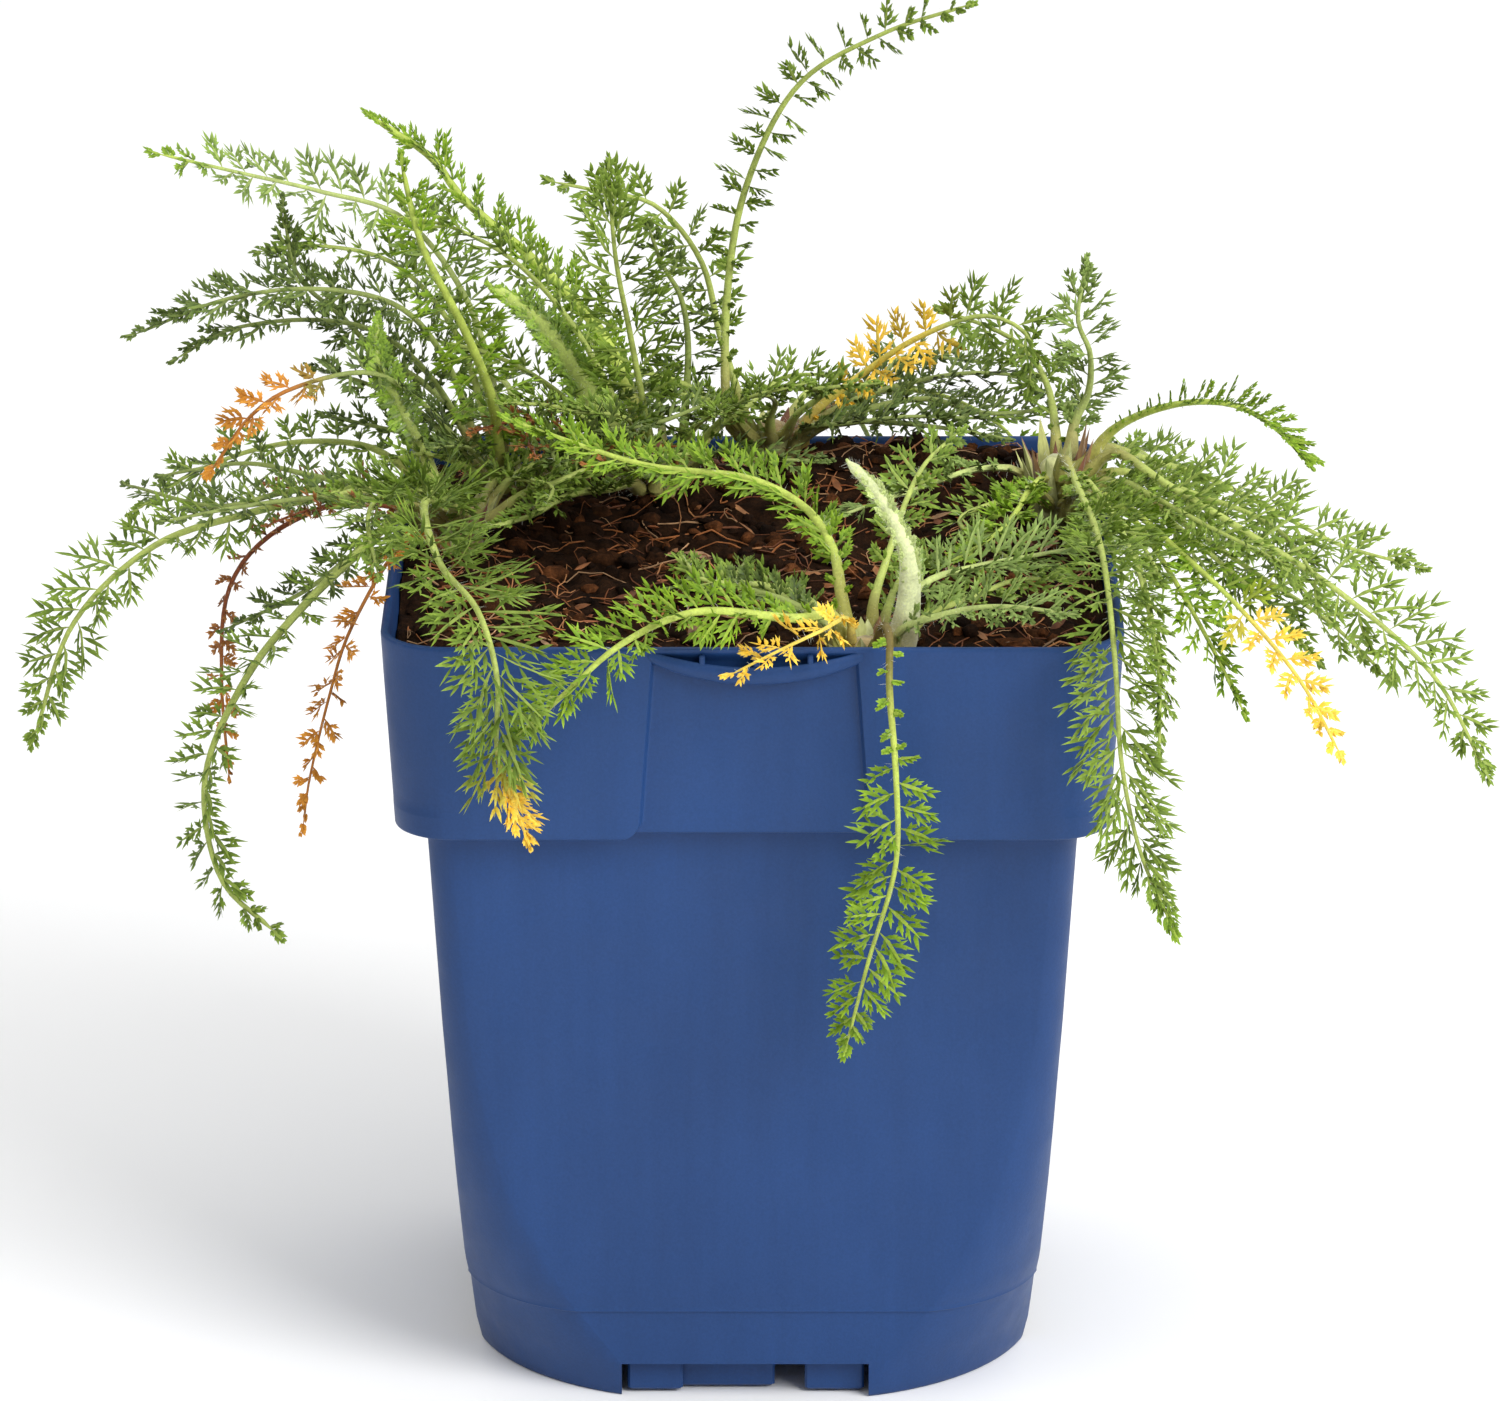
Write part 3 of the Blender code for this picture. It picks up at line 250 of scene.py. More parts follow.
# Habits: spacing of the leaflets on one side; sweep forward, lift upward, twist out of the frond's plane
# and the spread of all three, in degrees; length of a segment as a share of its leaflet; angles of the
# first and last segments; widths of a segment and of the midrib
HABIT_PARTS = ("pitch", "sweep", "lift", "twist", "spread", "segment", "first", "last", "width", "rib")
HABITS = {
    "open": (4.0, 18, 14, 6, 18, 0.46, 54, 30, 0.66, 0.66),
    "stacked": (3.4, 12, 16, 46, 20, 0.44, 50, 28, 0.68, 0.72),
    "dense": (2.5, 32, 22, 10, 26, 0.40, 42, 24, 0.62, 0.66),
    "narrow": (2.4, 36, 30, 24, 16, 0.34, 38, 22, 0.60, 0.95),
    "comb": (1.5, 26, 52, 50, 8, 0.32, 36, 22, 0.56, 0.78),
    "folded": (0.8, 40, 34, 20, 12, 0.36, 38, 24, 0.60, 1.15),
    "dry": (3.8, 22, 4, 10, 32, 0.46, 54, 34, 0.58, 0.46),
}

# Colours as 0 to 255 display values: the foot and tip of a leaflet's segments, and the midrib
PALETTES = {
    "green": ((74, 100, 20), (138, 164, 58), (184, 198, 104)),
    "dark": ((56, 76, 26), (108, 128, 54), (152, 166, 90)),
    "fresh": ((84, 120, 12), (146, 178, 42), (196, 212, 98)),
    "grey": ((90, 114, 46), (148, 172, 88), (186, 200, 120)),
    "young": ((116, 156, 18), (168, 202, 56), (204, 218, 116)),
    "woolly": ((156, 176, 88), (200, 214, 138), (222, 228, 174)),
    "yellow": ((240, 186, 36), (254, 220, 92), (218, 202, 92)),
    "orange": ((184, 112, 22), (226, 158, 54), (172, 110, 48)),
    "brown": ((116, 66, 30), (200, 134, 68), (146, 80, 48)),
}
# Fronds that change colour along their length: where the change starts and ends, as shares of it, and the
# palette there; one that ends before it starts changes toward its foot
FADES = {
    "bush_front": (0.84, 0.92, "yellow"),
    "left_orange": (0.62, 0.74, "orange"),
    "yellow_right": (0.60, 0.70, "yellow"),
    "corner_droop": (0.93, 0.99, "fresh"),
    "far_left_high": (0.80, 1.00, "fresh"),
    "dead_brown": (0.60, 0.85, "orange"),
    "yellow_arch": (0.62, 0.52, "yellow"),
}
# Stalks that differ from their habit's: how much wider, and the colour of a dark foot
STALKS = {
    "left_front_up": 1.35, "centre_long": 1.3, "left_droop": 1.3, "far_left_low": 1.25, "rim_left": 1.3,
    "soil_left": 1.5, "bush_front": 1.2, "spear_big": 2.35, "spear_white": 1.7, "young_light": 1.25,
    "long_up": 1.35, "front_hang": 0.85, "dead_brown": 1.3, "far_right": 1.15,
}
STALK_TONES = {
    "front_hang": (104, 78, 44), "dead_brown": (150, 84, 62), "right_mid": (130, 92, 66),
    "back_high": (140, 104, 70),
}


def colour(red, green, blue):
    """A display colour from 0 to 255 as linear light."""
    shares = np.array([red, green, blue]) / 255
    return np.where(shares <= 0.04045, shares / 12.92, ((shares + 0.055) / 1.055) ** 2.4)


def unit(vectors):
    vectors = np.asarray(vectors, float)
    return vectors / np.maximum(np.linalg.norm(vectors, axis=-1, keepdims=True), 1e-9)


def smooth(value, low, high):
    share = np.clip((value - low) / (high - low), 0, 1)
    return share * share * (3 - 2 * share)


def headings(turns, up=0.0):
    """Directions at angles round the upright, with a part upward."""
    return np.stack([np.cos(turns), np.sin(turns), np.broadcast_to(up, np.shape(turns))], -1)


def swung(first, second, angles):
    """Directions at angles from the first toward the second."""
    angles = np.asarray(angles)[..., None]
    return np.cos(angles) * first + np.sin(angles) * second


def mixed(first, second, share):
    share = np.asarray(share)[..., None]
    return first * (1 - share) + second * share


def place_object(name, data, place=(0, 0, 0), turn=(0, 0, 0)):
    made = bpy.data.objects.new(name, data)
    made.location = place
    made.rotation_euler = turn
    bpy.context.scene.collection.objects.link(made)
    return made


class Shape:
    """Points in millimetres, triangles and a colour for each point, gathered into one mesh."""

    def __init__(self):
        self.points = []
        self.faces = []
        self.tints = []
        self.count = 0

    def add(self, points, faces, tints):
        points = np.asarray(points, float).reshape(-1, 3)
        self.points.append(points)
        self.faces.append(np.asarray(faces, int).reshape(-1, 3) + self.count)
        self.tints.append(np.broadcast_to(np.asarray(tints, float), points.shape).reshape(-1, 3))
        self.count += len(points)

    def make(self, name, material, slot, nodes=(), angle=50):
        points = np.concatenate(self.points) * MM
        faces = np.concatenate(self.faces)
        tints = np.concatenate(self.tints)
        mesh = bpy.data.meshes.new(name)
        mesh.vertices.add(len(points))
        mesh.vertices.foreach_set("co", points.astype(np.float32).ravel())
        mesh.loops.add(faces.size)
        mesh.loops.foreach_set("vertex_index", faces.astype(np.int32).ravel())
        mesh.polygons.add(len(faces))
        mesh.polygons.foreach_set("loop_start", np.arange(0, faces.size, 3, dtype=np.int32))
        mesh.update(calc_edges=True)
        mesh.validate()
        layer = mesh.color_attributes.new("tint", "FLOAT_COLOR", "POINT")
        layer.data.foreach_set("color", np.c_[tints, np.ones(len(tints))].astype(np.float32).ravel())
        mesh.shade_smooth()
        mesh.set_sharp_from_angle(angle=math.radians(angle))
        mesh.materials.append(material)
        made = place_object(name, mesh)
        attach(made, "root")
        if nodes:
            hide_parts(*nodes)
        return made


class Nodes:
    """Short names for building a material's nodes."""

    def __init__(self, name):
        self.material = bpy.data.materials.new(name)
        self.material.use_nodes = True
        self.tree = self.material.node_tree
        self.place = self.add("TexCoord").outputs["Object"]

    def put(self, socket, value):
        if isinstance(value, bpy.types.NodeSocket):
            self.tree.links.new(value, socket)
        else:
            socket.default_value = value

    def add(self, kind, **inputs):
        made = self.tree.nodes.new("ShaderNode" + kind)
        for name, value in inputs.items():
            self.put(made.inputs[name], value)
        return made

    def noise(self, scale, detail, roughness=0.55, stretch=None):
        source = self.place
        if stretch:
            source = self.add("Mapping", Scale=stretch, Vector=source).outputs["Vector"]
        made = self.add("TexNoise", Scale=scale, Detail=detail, Roughness=roughness, Vector=source)
        return made.outputs["Fac"]

    def vary(self, noise, to_low, to_high, low=0.3, high=0.7):
        """Noise of the given scale, detail, roughness and stretch, spread between two values."""
        made = self.add("MapRange")
        for socket, value in zip(made.inputs, (self.noise(*noise), low, high, to_low, to_high)):
            self.put(socket, value)
        return made.outputs[0]

    def mix(self, kind, share, first, second):
        made = self.add("Mix")
        made.data_type = "RGBA"
        made.blend_type = kind
        for index, value in ((0, share), (6, first), (7, second)):
            self.put(made.inputs[index], value)
        return made.outputs[2]

    def times(self, base, *factors):
        for factor in factors:
            base = self.mix("MULTIPLY", 1.0, base, factor)
        return base

    def bump(self, noise, strength, distance, **before):
        made = self.add("Bump", Strength=strength, Distance=distance, Height=self.noise(*noise), **before)
        return made.outputs["Normal"]

    def tint(self):
        made = self.add("Attribute")
        made.attribute_name = "tint"
        return made.outputs["Color"]

    def finish(self, **sockets):
        """Sets the shader's inputs, named with _ for a space, and gives back the material."""
        for name, value in sockets.items():
            self.put(self.tree.nodes["Principled BSDF"].inputs[name.replace("_", " ")], value)
        return self.material


def opaque(tone):
    return (*colour(*tone), 1.0)


def leaf_material(name, rough, sheen):
    """Leaf: the mesh's own tint, mottled at two sizes, with fine veining in the bump."""
    nodes = Nodes(name)
    mottle, fleck = nodes.vary((420, 4), 0.80, 1.14), nodes.vary((2600, 2), 0.88, 1.10, 0.35, 0.65)
    return nodes.finish(
        Base_Color=nodes.times(nodes.tint(), mottle, fleck),
        Roughness=nodes.vary((900, 2), rough - 0.08, rough + 0.1), Specular_IOR_Level=0.26,
        Normal=nodes.bump((3200, 2), 0.35, 0.00012), Sheen_Weight=sheen, Sheen_Roughness=0.6,
    )


def hair_material():
    nodes = Nodes("fine_white_hair")
    base = nodes.times(opaque(HAIR), nodes.vary((500, 2), 0.62, 0.86))
    return nodes.finish(Base_Color=base, Roughness=0.5, Sheen_Weight=0.4)


def soil_material():
    nodes = Nodes("peat_soil")
    clumps = nodes.vary((260, 6, 0.65), 0.35, 1.7, 0.32, 0.68)
    crumbs = nodes.vary((1500, 5, 0.7), 0.45, 1.6)
    coarse = nodes.bump((700, 6, 0.7), 0.9, 0.0012)
    return nodes.finish(
        Base_Color=nodes.times(nodes.tint(), clumps, crumbs), Roughness=0.95, Specular_IOR_Level=0.12,
        Normal=nodes.bump((3500, 4, 0.7), 0.7, 0.0003, Normal=coarse),
    )


def fibre_material():
    nodes = Nodes("coir_fibre")
    base = nodes.times(nodes.tint(), nodes.vary((700, 3), 0.6, 1.3))
    return nodes.finish(Base_Color=base, Roughness=0.7, Normal=nodes.bump((4000, 2), 0.4, 0.0001))


def crown_material():
    nodes = Nodes("woody_crown")
    streaks = nodes.vary((520, 4, 0.6, (1, 1, 0.25)), 0.55, 1.3)
    return nodes.finish(
        Base_Color=nodes.times(nodes.tint(), streaks), Roughness=0.7, Sheen_Weight=0.3,
        Normal=nodes.bump((1400, 4, 0.6, (1, 1, 0.3)), 0.6, 0.0004),
    )


def pot_material():
    """Moulded plastic: deep blue with faint cloudiness, fine grain, drawn streaks and dusty scuffs."""
    nodes = Nodes("pot_plastic")
    cloud, grain = nodes.vary((22, 3), 0.93, 1.08), nodes.vary((2400, 2), 0.94, 1.07)
    streak = nodes.vary((300, 3, 0.6, (1, 1, 0.05)), 0.97, 1.07, 0.35, 0.75)
    dust = nodes.vary((900, 5, 0.7), 0.0, 0.07, 0.70, 0.84)
    base = nodes.times(opaque(POT_BLUE), cloud, grain, streak)
    return nodes.finish(
        Base_Color=nodes.mix("MIX", dust, base, opaque(DUST)), Roughness=nodes.vary((160, 4), 0.40, 0.54),
        Normal=nodes.bump((2600, 3, 0.6), 0.22, 0.00012), IOR=1.47, Specular_IOR_Level=0.3,
    )


def floor_material():
    nodes = Nodes("studio_floor")
    base = nodes.times((0.97, 0.97, 0.97, 1.0), nodes.vary((6, 3), 0.97, 1.0))
    return nodes.finish(Base_Color=base, Roughness=0.9)


# Tubes, blades and hairs


def loft(shape, rings, tints=(1.0, 1.0, 1.0), clockwise=False):
    """A closed skin over rings of points, anticlockwise seen from the next ring, or clockwise; one tint for
    all, or one for each ring."""
    count = len(rings[0])
    points = np.concatenate([*rings, [np.mean(rings[0], axis=0)], [np.mean(rings[-1], axis=0)]])
    around = np.arange(count)
    following = (around + 1) % count
    faces = []
    for level in range(len(rings) - 1):
        a, b = level * count + around, level * count + following
        faces += [np.stack([a, b, b + count], -1), np.stack([a, b + count, a + count], -1)]
    last = (len(rings) - 1) * count
    faces.append(np.stack([np.full(count, len(points) - 2), following, around], -1))
    faces.append(np.stack([np.full(count, len(points) - 1), last + around, last + following], -1))
    faces = np.concatenate(faces)
    tints = np.broadcast_to(np.asarray(tints, float), (len(rings), 3))
    tints = np.concatenate([np.repeat(tints, count, axis=0), tints[[0, -1]]])
    shape.add(points, faces[:, ::-1] if clockwise else faces, tints)


def tube(shape, line, radii, sides, tints, flat=1.0, upper=(0.3, 0.5, 0.81)):
    """A closed tube along a line of points; flat squeezes it along its upper side."""
    line = np.asarray(line, float)
    onward = unit(np.gradient(line, axis=0))
    side = unit(np.cross(onward, np.asarray(upper, float)))
    raised = np.cross(side, onward)
    around = swung(side[:, None], flat * raised[:, None], np.arange(sides) / sides * 2 * math.pi)
    radii = np.broadcast_to(radii, len(line))[:, None, None]
    loft(shape, list(line[:, None] + radii * around), tints, clockwise=True)


BLADE_STATIONS = (0.30, 0.66)
BLADE_WIDTHS = (0.96, 0.74)
TOOTH_STATIONS = (0.42,)
TOOTH_WIDTHS = (1.0,)
PAIR_SIZES = (1.0, 1.08, 0.92, 0.66)  # of a leaflet's pairs of segments; the simple ones lack the last


def blades(shape, foot, out, wide, length, width, bend, foot_tint, tip_tint, small=False, thick=0.42):
    """Many closed blades at once, each pointed at its foot and its tip."""
    foot = np.asarray(foot, float)
    count = len(foot)
    if not count:
        return
    stations = TOOTH_STATIONS if small else BLADE_STATIONS
    widths = TOOTH_WIDTHS if small else BLADE_WIDTHS
    length = np.broadcast_to(length, count)[:, None]
    width = np.broadcast_to(width, count)[:, None]
    out = unit(out)
    wide = unit(wide - np.sum(wide * out, axis=1, keepdims=True) * out)
    face = np.cross(out, wide)
    points = [foot]
    tints = [foot_tint]
    for station, share in zip(stations, widths):
        middle = foot + out * length * station + bend * station ** 2
        half = 0.5 * width * share
        edge, ridge = wide * half, face * half * thick
        points += [middle + edge, middle + ridge, middle - edge, middle - ridge]
        tints += [mixed(foot_tint, tip_tint, np.full(count, station ** 1.3))] * 4
    points.append(foot + out * length + bend)
    tints.append(tip_tint)
    points = np.stack(points, 1)
    tints = np.stack(tints, 1)
    faces = []
    for index in range(4):
        following = (index + 1) % 4
        faces.append((0, 1 + following, 1 + index))
        for level in range(len(stations) - 1):
            low = 1 + 4 * level
            faces.append((low + index, low + following, low + 4 + following))
            faces.append((low + index, low + 4 + following, low + 4 + index))
        last = 1 + 4 * (len(stations) - 1)
        faces.append((last + index, last + following, points.shape[1] - 1))
    faces = np.array(faces)[None] + (np.arange(count) * points.shape[1])[:, None, None]
    shape.add(points.reshape(-1, 3), faces.reshape(-1, 3), tints.reshape(-1, 3))


def hairs(shape, foot, out, length, radius=0.03):
    """Fine closed cones, three-sided."""
    count = len(foot)
    out = unit(out)
    side = unit(np.cross(out, np.array([0.31, 0.52, 0.79])))
    other = np.cross(out, side)
    length = np.broadcast_to(length, count)[:, None]
    turns = np.arange(3) / 3 * 2 * math.pi
    corners = [foot - out * 0.15 + radius * swung(side, other, turn) for turn in turns]
    points = np.stack([*corners, foot + out * length], 1)
    faces = np.array([(0, 2, 1), (0, 1, 3), (1, 2, 3), (2, 0, 3)]) + (np.arange(count) * 4)[:, None, None]
    shape.add(points.reshape(-1, 3), faces.reshape(-1, 3), np.ones(3))


# The route of a frond, worked out as in the CAD


class Route:
    def __init__(self, points, face):
        points = [np.array(point, float) for point in points]
        ends = [2 * points[0] - points[1], *points, 2 * points[-1] - points[-2]]
        line = []
        for index in range(1, len(ends) - 2):
            before, start, stop, after = ends[index - 1:index + 3]
            for step in range(ROUTE_STEPS):
                s = step / ROUTE_STEPS
                line.append(0.5 * (
                    2 * start + (stop - before) * s + (2 * before - 5 * start + 4 * stop - after) * s ** 2
                    + (3 * start - before - 3 * stop + after) * s ** 3
                ))
        line.append(points[-1])
        self.line = np.array(line)
        steps = np.linalg.norm(np.diff(self.line, axis=0), axis=1)
        self.along = np.concatenate([[0], np.cumsum(steps)])
        self.length = self.along[-1]
        self.face = unit(face)

    def place(self, lengths):
        return np.stack([np.interp(lengths, self.along, self.line[:, axis]) for axis in range(3)], -1)

    def at(self, lengths):
        lengths = np.asarray(lengths, float)
        ahead = self.place(np.minimum(lengths + 2.0, self.length))
        behind = self.place(np.maximum(lengths - 2.0, 0))
        onward = unit(ahead - behind)
        side = unit(np.cross(onward, self.face))
        return self.place(lengths), onward, side, np.cross(side, onward)


def soil_height(x, y):
    """Mounded at the back and on the right, hollow at the front middle."""
    height = SOIL_BASE
    for tall, at_x, at_y, wide, deep in MOUNDS:
        height = height + tall * np.exp(-(((x - at_x) / wide) ** 2 + ((y - at_y) / deep) ** 2))
    return height


def root_of(crown, first):
    x, y, rise, radius = CROWNS[crown]
    away = unit((first[0] - x, first[1] - y))
    reach = radius + ROOT_CLEAR
    ground = soil_height(x, y)
    height = min(max(first[2] - 4, ground + 1.6), ground + 0.7 + rise)
    return (x + reach * away[0], y + reach * away[1], height)


def palette_along(name, palette, share):
    """The three colours of a frond at shares of its length, with its fade."""
    own = [colour(*tone) for tone in PALETTES[palette]]
    result = [np.tile(tone, (len(share), 1)) for tone in own]
    if name in FADES:
        start, stop, other = FADES[name]
        amount = smooth(share, start, stop)
        result = [mixed(tone, colour(*late), amount) for tone, late in zip(result, PALETTES[other])]
    return result


def jitter_tint(draw, tones, amount=0.10):
    return tones * (1 + draw.uniform(-amount, amount, (len(tones), 1)))


def drawn_tones(draw, tones, count):
    return np.array([colour(*tones[index]) for index in draw.integers(0, len(tones), count)])


def turned(out, wide, face, angle, tilt, hand):
    """A direction in the leaflet's plane, turned from its axis to one hand and tipped out of the plane."""
    return swung(out, hand * swung(wide, face, tilt), angle)


def leaflet_blades(shape, draw, foot, out, wide, length, habit, tones, simple=False):
    """Twice-cut leaflets, many at once: an axis, pairs of pointed segments, and teeth on those."""
    count = len(foot)
    face = np.cross(out, wide)
    foot_tone, tip_tone, rib_tone = tones
    curl = (-0.16 * face + 0.12 * wide) * length[:, None] * draw.uniform(0.1, 1.8, (count, 1))
    width = habit["width"]
    axis_tone = mixed(rib_tone, foot_tone, np.full(count, 0.5))
    blades(shape, foot, out, wide, length, np.full(count, width * 0.95), curl, axis_tone, tip_tone)
    pairs = len(PAIR_SIZES) - simple
    for step in range(pairs):
        station = 0.16 + 0.62 * step / (pairs - 1)
        size = habit["segment"] * PAIR_SIZES[step]
        middle = habit["first"] + (habit["last"] - habit["first"]) * step / (pairs - 1)
        for hand in (1, -1):
            place = station + draw.uniform(-0.04, 0.04, count)[:, None]
            base = foot + out * length[:, None] * place + curl * place ** 2
            angle = np.radians(draw.normal(middle, 8, count))
            tilt = np.radians(draw.normal(12 * hand, habit["spread"], count))
            reach = length * size * draw.uniform(0.70, 1.18, count)
            aim = turned(out, wide, face, angle, tilt, hand)
            across = turned(out, wide, face, angle + math.pi / 2, tilt, hand)
            lean = out * (reach * 0.22)[:, None]
            start = jitter_tint(draw, foot_tone)
            stop = jitter_tint(draw, tip_tone)
            broad = width * draw.uniform(0.85, 1.15, count)
            blades(shape, base, aim, across, reach, broad, lean, start, stop)
            for tooth_at, turn in ((0.36, 1), (0.50, -1)):
                if step == pairs - 1 or ((simple or step == pairs - 2) and turn < 0):
                    continue
                tooth = base + aim * (reach * tooth_at)[:, None] + lean * tooth_at ** 2
                spread = np.radians(draw.normal(36, 8, count))
                way = swung(unit(aim), turn * unit(across), spread)
                size_tooth = reach * (0.52 if turn > 0 else 0.44) * draw.uniform(0.6, 1.2, count)
                blades(
                    shape, tooth, way, across, size_tooth, width * 0.74, out * (size_tooth * 0.14)[:, None],
                    mixed(start, stop, np.full(count, 0.35)), stop, small=True,
                )


def read_fronds(text):
    """The rows of a table of fronds; an indented line goes on with the row above it."""
    rows = []
    for line in text.replace("\n ", " ").split("\n")[1:-1]:
        name, crown, palette, face, reach, bare, kind, *numbers = line.split()
        points = np.array(numbers, float).reshape(-1, 3)
        rows.append((name, crown, palette, FACES[face], float(reach), float(bare), kind, points))
    return rows


def make_frond(entry, seed, material=None, into=None):
    """One leaf, as its own piece or grown into a shared shape; gives back its hairs."""
    name, crown, palette, face, reach, bare, kind, points = entry
    habit = dict(zip(HABIT_PARTS, HABITS[kind]))
    draw = np.random.default_rng(seed)
    root = np.array(root_of(crown, points[0]))
    route = Route((root, *points), face)
    length = route.length
    shape = Shape() if into is None else into
    hair_shape = Shape()

    # The midrib, starting inside the crown and widening into a sheath there
    marks = np.linspace(0, length, max(24, int(length / 2)))
    place, onward, side, upper = route.at(marks)
    share = marks / length
    heart = np.array([CROWNS[crown][0], CROWNS[crown][1], root[2] - 2.2])
    inner = heart + (root - heart) * np.array([0.35, 0.35, 0.0])
    inner[2] = root[2] - 1.6
    between = (inner + root) / 2 + np.array([0, 0, -0.35])
    place = np.concatenate([[inner, between], place])
    widen = STALKS.get(name, 1.0)
    radii = habit["rib"] * widen * (1.04 - 0.66 * share ** 0.9) + 0.55 * np.exp(-marks / 3.5)
    radii = np.concatenate([[1.15, 1.2], radii])
    radii[-1] *= 0.35
    foot_tone, _, rib_tone = palette_along(name, palette, share)
    blush = colour(*STALK_TONES.get(name, BLUSH))
    until, strength = (0.42, 0.92) if name in STALK_TONES else (0.2, 0.5)
    rib_tone = mixed(rib_tone, blush, strength * (1 - smooth(share, until * 0.4, until)))
    rib_tone = mixed(rib_tone, foot_tone, 0.3 * share)
    rib_tone = np.concatenate([rib_tone[:2] * 0.8, rib_tone])
    tube(shape, place, radii, 8, rib_tone, 0.82, route.face)

    # Leaflets on both sides, out of step with each other
    start = bare * length
    for hand in (1, -1):
        lengths = np.arange(start + (0 if hand > 0 else habit["pitch"] / 2), length - 0.8, habit["pitch"])
        if kind not in ("folded", "comb"):
            small = np.arange(start * 0.45, start - 1, 4.5) + (0 if hand > 0 else 2.1)
        else:
            small = np.zeros(0)
        lengths = np.concatenate([small, lengths])
        lengths = lengths + draw.uniform(-0.2, 0.2, len(lengths)) * habit["pitch"]
        leafy = np.clip((lengths - start) / (length - start), 0, 1)
        size = reach * np.minimum(1, 0.55 + 2.0 * leafy) * np.minimum(1, 0.26 + 3.0 * (1 - leafy))
        if kind == "comb":
            size = reach * (0.28 + 0.72 * smooth(leafy, 0, 0.7)) * np.minimum(1, 0.6 + 4 * (1 - leafy))
        size = np.where(lengths < start, reach * 0.30, size)
        size = size * draw.uniform(0.78, 1.06, len(lengths))
        place, onward, side, upper = route.at(lengths)
        lift = habit["lift"] + draw.normal(0, habit["spread"] * 0.7, len(lengths))
        sweep = habit["sweep"] + 34 * smooth(leafy, 0.5, 1.0) + draw.normal(0, 7, len(lengths))
        out = unit(swung(swung(side * hand, upper, np.radians(lift)), onward, np.radians(sweep)))
        wide = unit(onward - np.sum(onward * out, axis=1, keepdims=True) * out)
        twist = np.radians(draw.normal(habit["twist"], habit["spread"] * 1.1, len(lengths)))
        wide = swung(wide, np.cross(out, wide), twist * hand)
        tones = palette_along(name, palette, lengths / length)
        tones = [tone * draw.uniform(0.82, 1.12, (len(lengths), 1)) for tone in tones]
        leaflet_blades(shape, draw, place, out, wide, size, habit, tones, into is not None)

    # The end: a last small leaflet straight on
    place, onward, side, upper = route.at(np.full(1, length - 0.6))
    leaflet_blades(shape, draw, place, onward, side, np.full(1, min(3.2, reach * 0.42)), habit,
                   palette_along(name, palette, np.full(1, 1.0)))

    # White hairs, thickest on young leaves and on the bare stalk
    count = int(HAIRS_PER_MM.get(kind, FEW_HAIRS_PER_MM) * length)
    lengths = length * draw.uniform(0, 1, count) ** (1.0 if kind == "folded" else 1.5)
    place, onward, side, upper = route.at(lengths)
    around = swung(side, upper, draw.uniform(0, 2 * math.pi, count))
    radius = np.interp(lengths, marks, radii[2:])[:, None]
    aim = unit(around + onward * draw.uniform(0.1, 0.9, (count, 1)) + draw.normal(0, 0.15, (count, 3)))
    hairs(hair_shape, place + around * radius * 0.85, aim, draw.uniform(0.5, 1.5, count))

    if into is None:
        node = "frond_" + name
        shape.make("leaf_" + name, material, frame_slot(node, "leaf_green"), (node,))
    return hair_shape


def thicket_leaves():
    """The short leaves that fill each crown's thicket, by a rule: they rise, lean out and bow."""
    draw = np.random.default_rng(THICKET_RULE_SEED)
    leaves = []
    for key, palette, kind, steep, reach, bearings, lengths in THICKETS:
        x, y, rise, radius = CROWNS[key]
        ground = float(soil_height(x, y)) + 0.6 * rise + 2
        for bearing, length in zip(bearings, lengths):
            angle = math.radians(bearing + draw.uniform(-6, 6))
            climb = math.radians(steep + draw.uniform(-6, 6))
            points = []
            for share in (0.22, 0.48, 0.75, 1.0):
                out = radius + 2 + length * (math.cos(climb) * share + 0.30 * share ** 2)
                up = length * (math.sin(climb) * share - 0.34 * share ** 2)
                turn = angle + 0.25 * share * draw.uniform(-1, 1)
                points.append((x + out * math.cos(turn), y + out * math.sin(turn), ground + up))
            leaves.append(("thicket", key, palette, FACES["open"], reach, THICKET_BARE, kind, points))
    return leaves


def make_thickets(material):
    """Young leaves round the crowns and the second leaves beside the long ones, left and right."""
    groups = {"left": Shape(), "right": Shape()}
    hair_shapes = []
    for index, entry in enumerate(thicket_leaves() + read_fronds(SECOND_LEAVES)):
        side = "left" if entry[1] in "aef" else "right"
        hair_shapes.append(make_frond(entry, THICKET_SEED + index, into=groups[side]))
    for side, shape in groups.items():
        shape.make("leaf_thicket_" + side, material, "leaf_green")
    return hair_shapes


def frame_slot(node, fallback):
    for subpart in frame["record"].get("subparts", ()):
        if subpart.get("node") == node:
            return subpart.get("material_slot", fallback)
    return fallback


# The pot


def body_at(height):
    """The body's half width and corner at a height."""
    heights, halves, corners = zip(*BODY)
    return float(np.interp(height, heights, halves)), float(np.interp(height, heights, corners))


def collar_half(height):
    share = (height - COLLAR_FOOT) / COLLAR_HEIGHT
    return COLLAR_FOOT_HALF + (RIM_HALF - COLLAR_FOOT_HALF) * share


def panel_edge(height):
    """Half the panel's width, widening round the lower corners of the wings."""
    above = height - COLLAR_FOOT
    straight = PANEL_FOOT_HALF + (PANEL_TOP_HALF - PANEL_FOOT_HALF) * above / COLLAR_HEIGHT
    short = PANEL_ROUND - min(max(above, 0.0), PANEL_ROUND)
    return straight + PANEL_ROUND - math.sqrt(max(PANEL_ROUND ** 2 - short ** 2, 0.0))


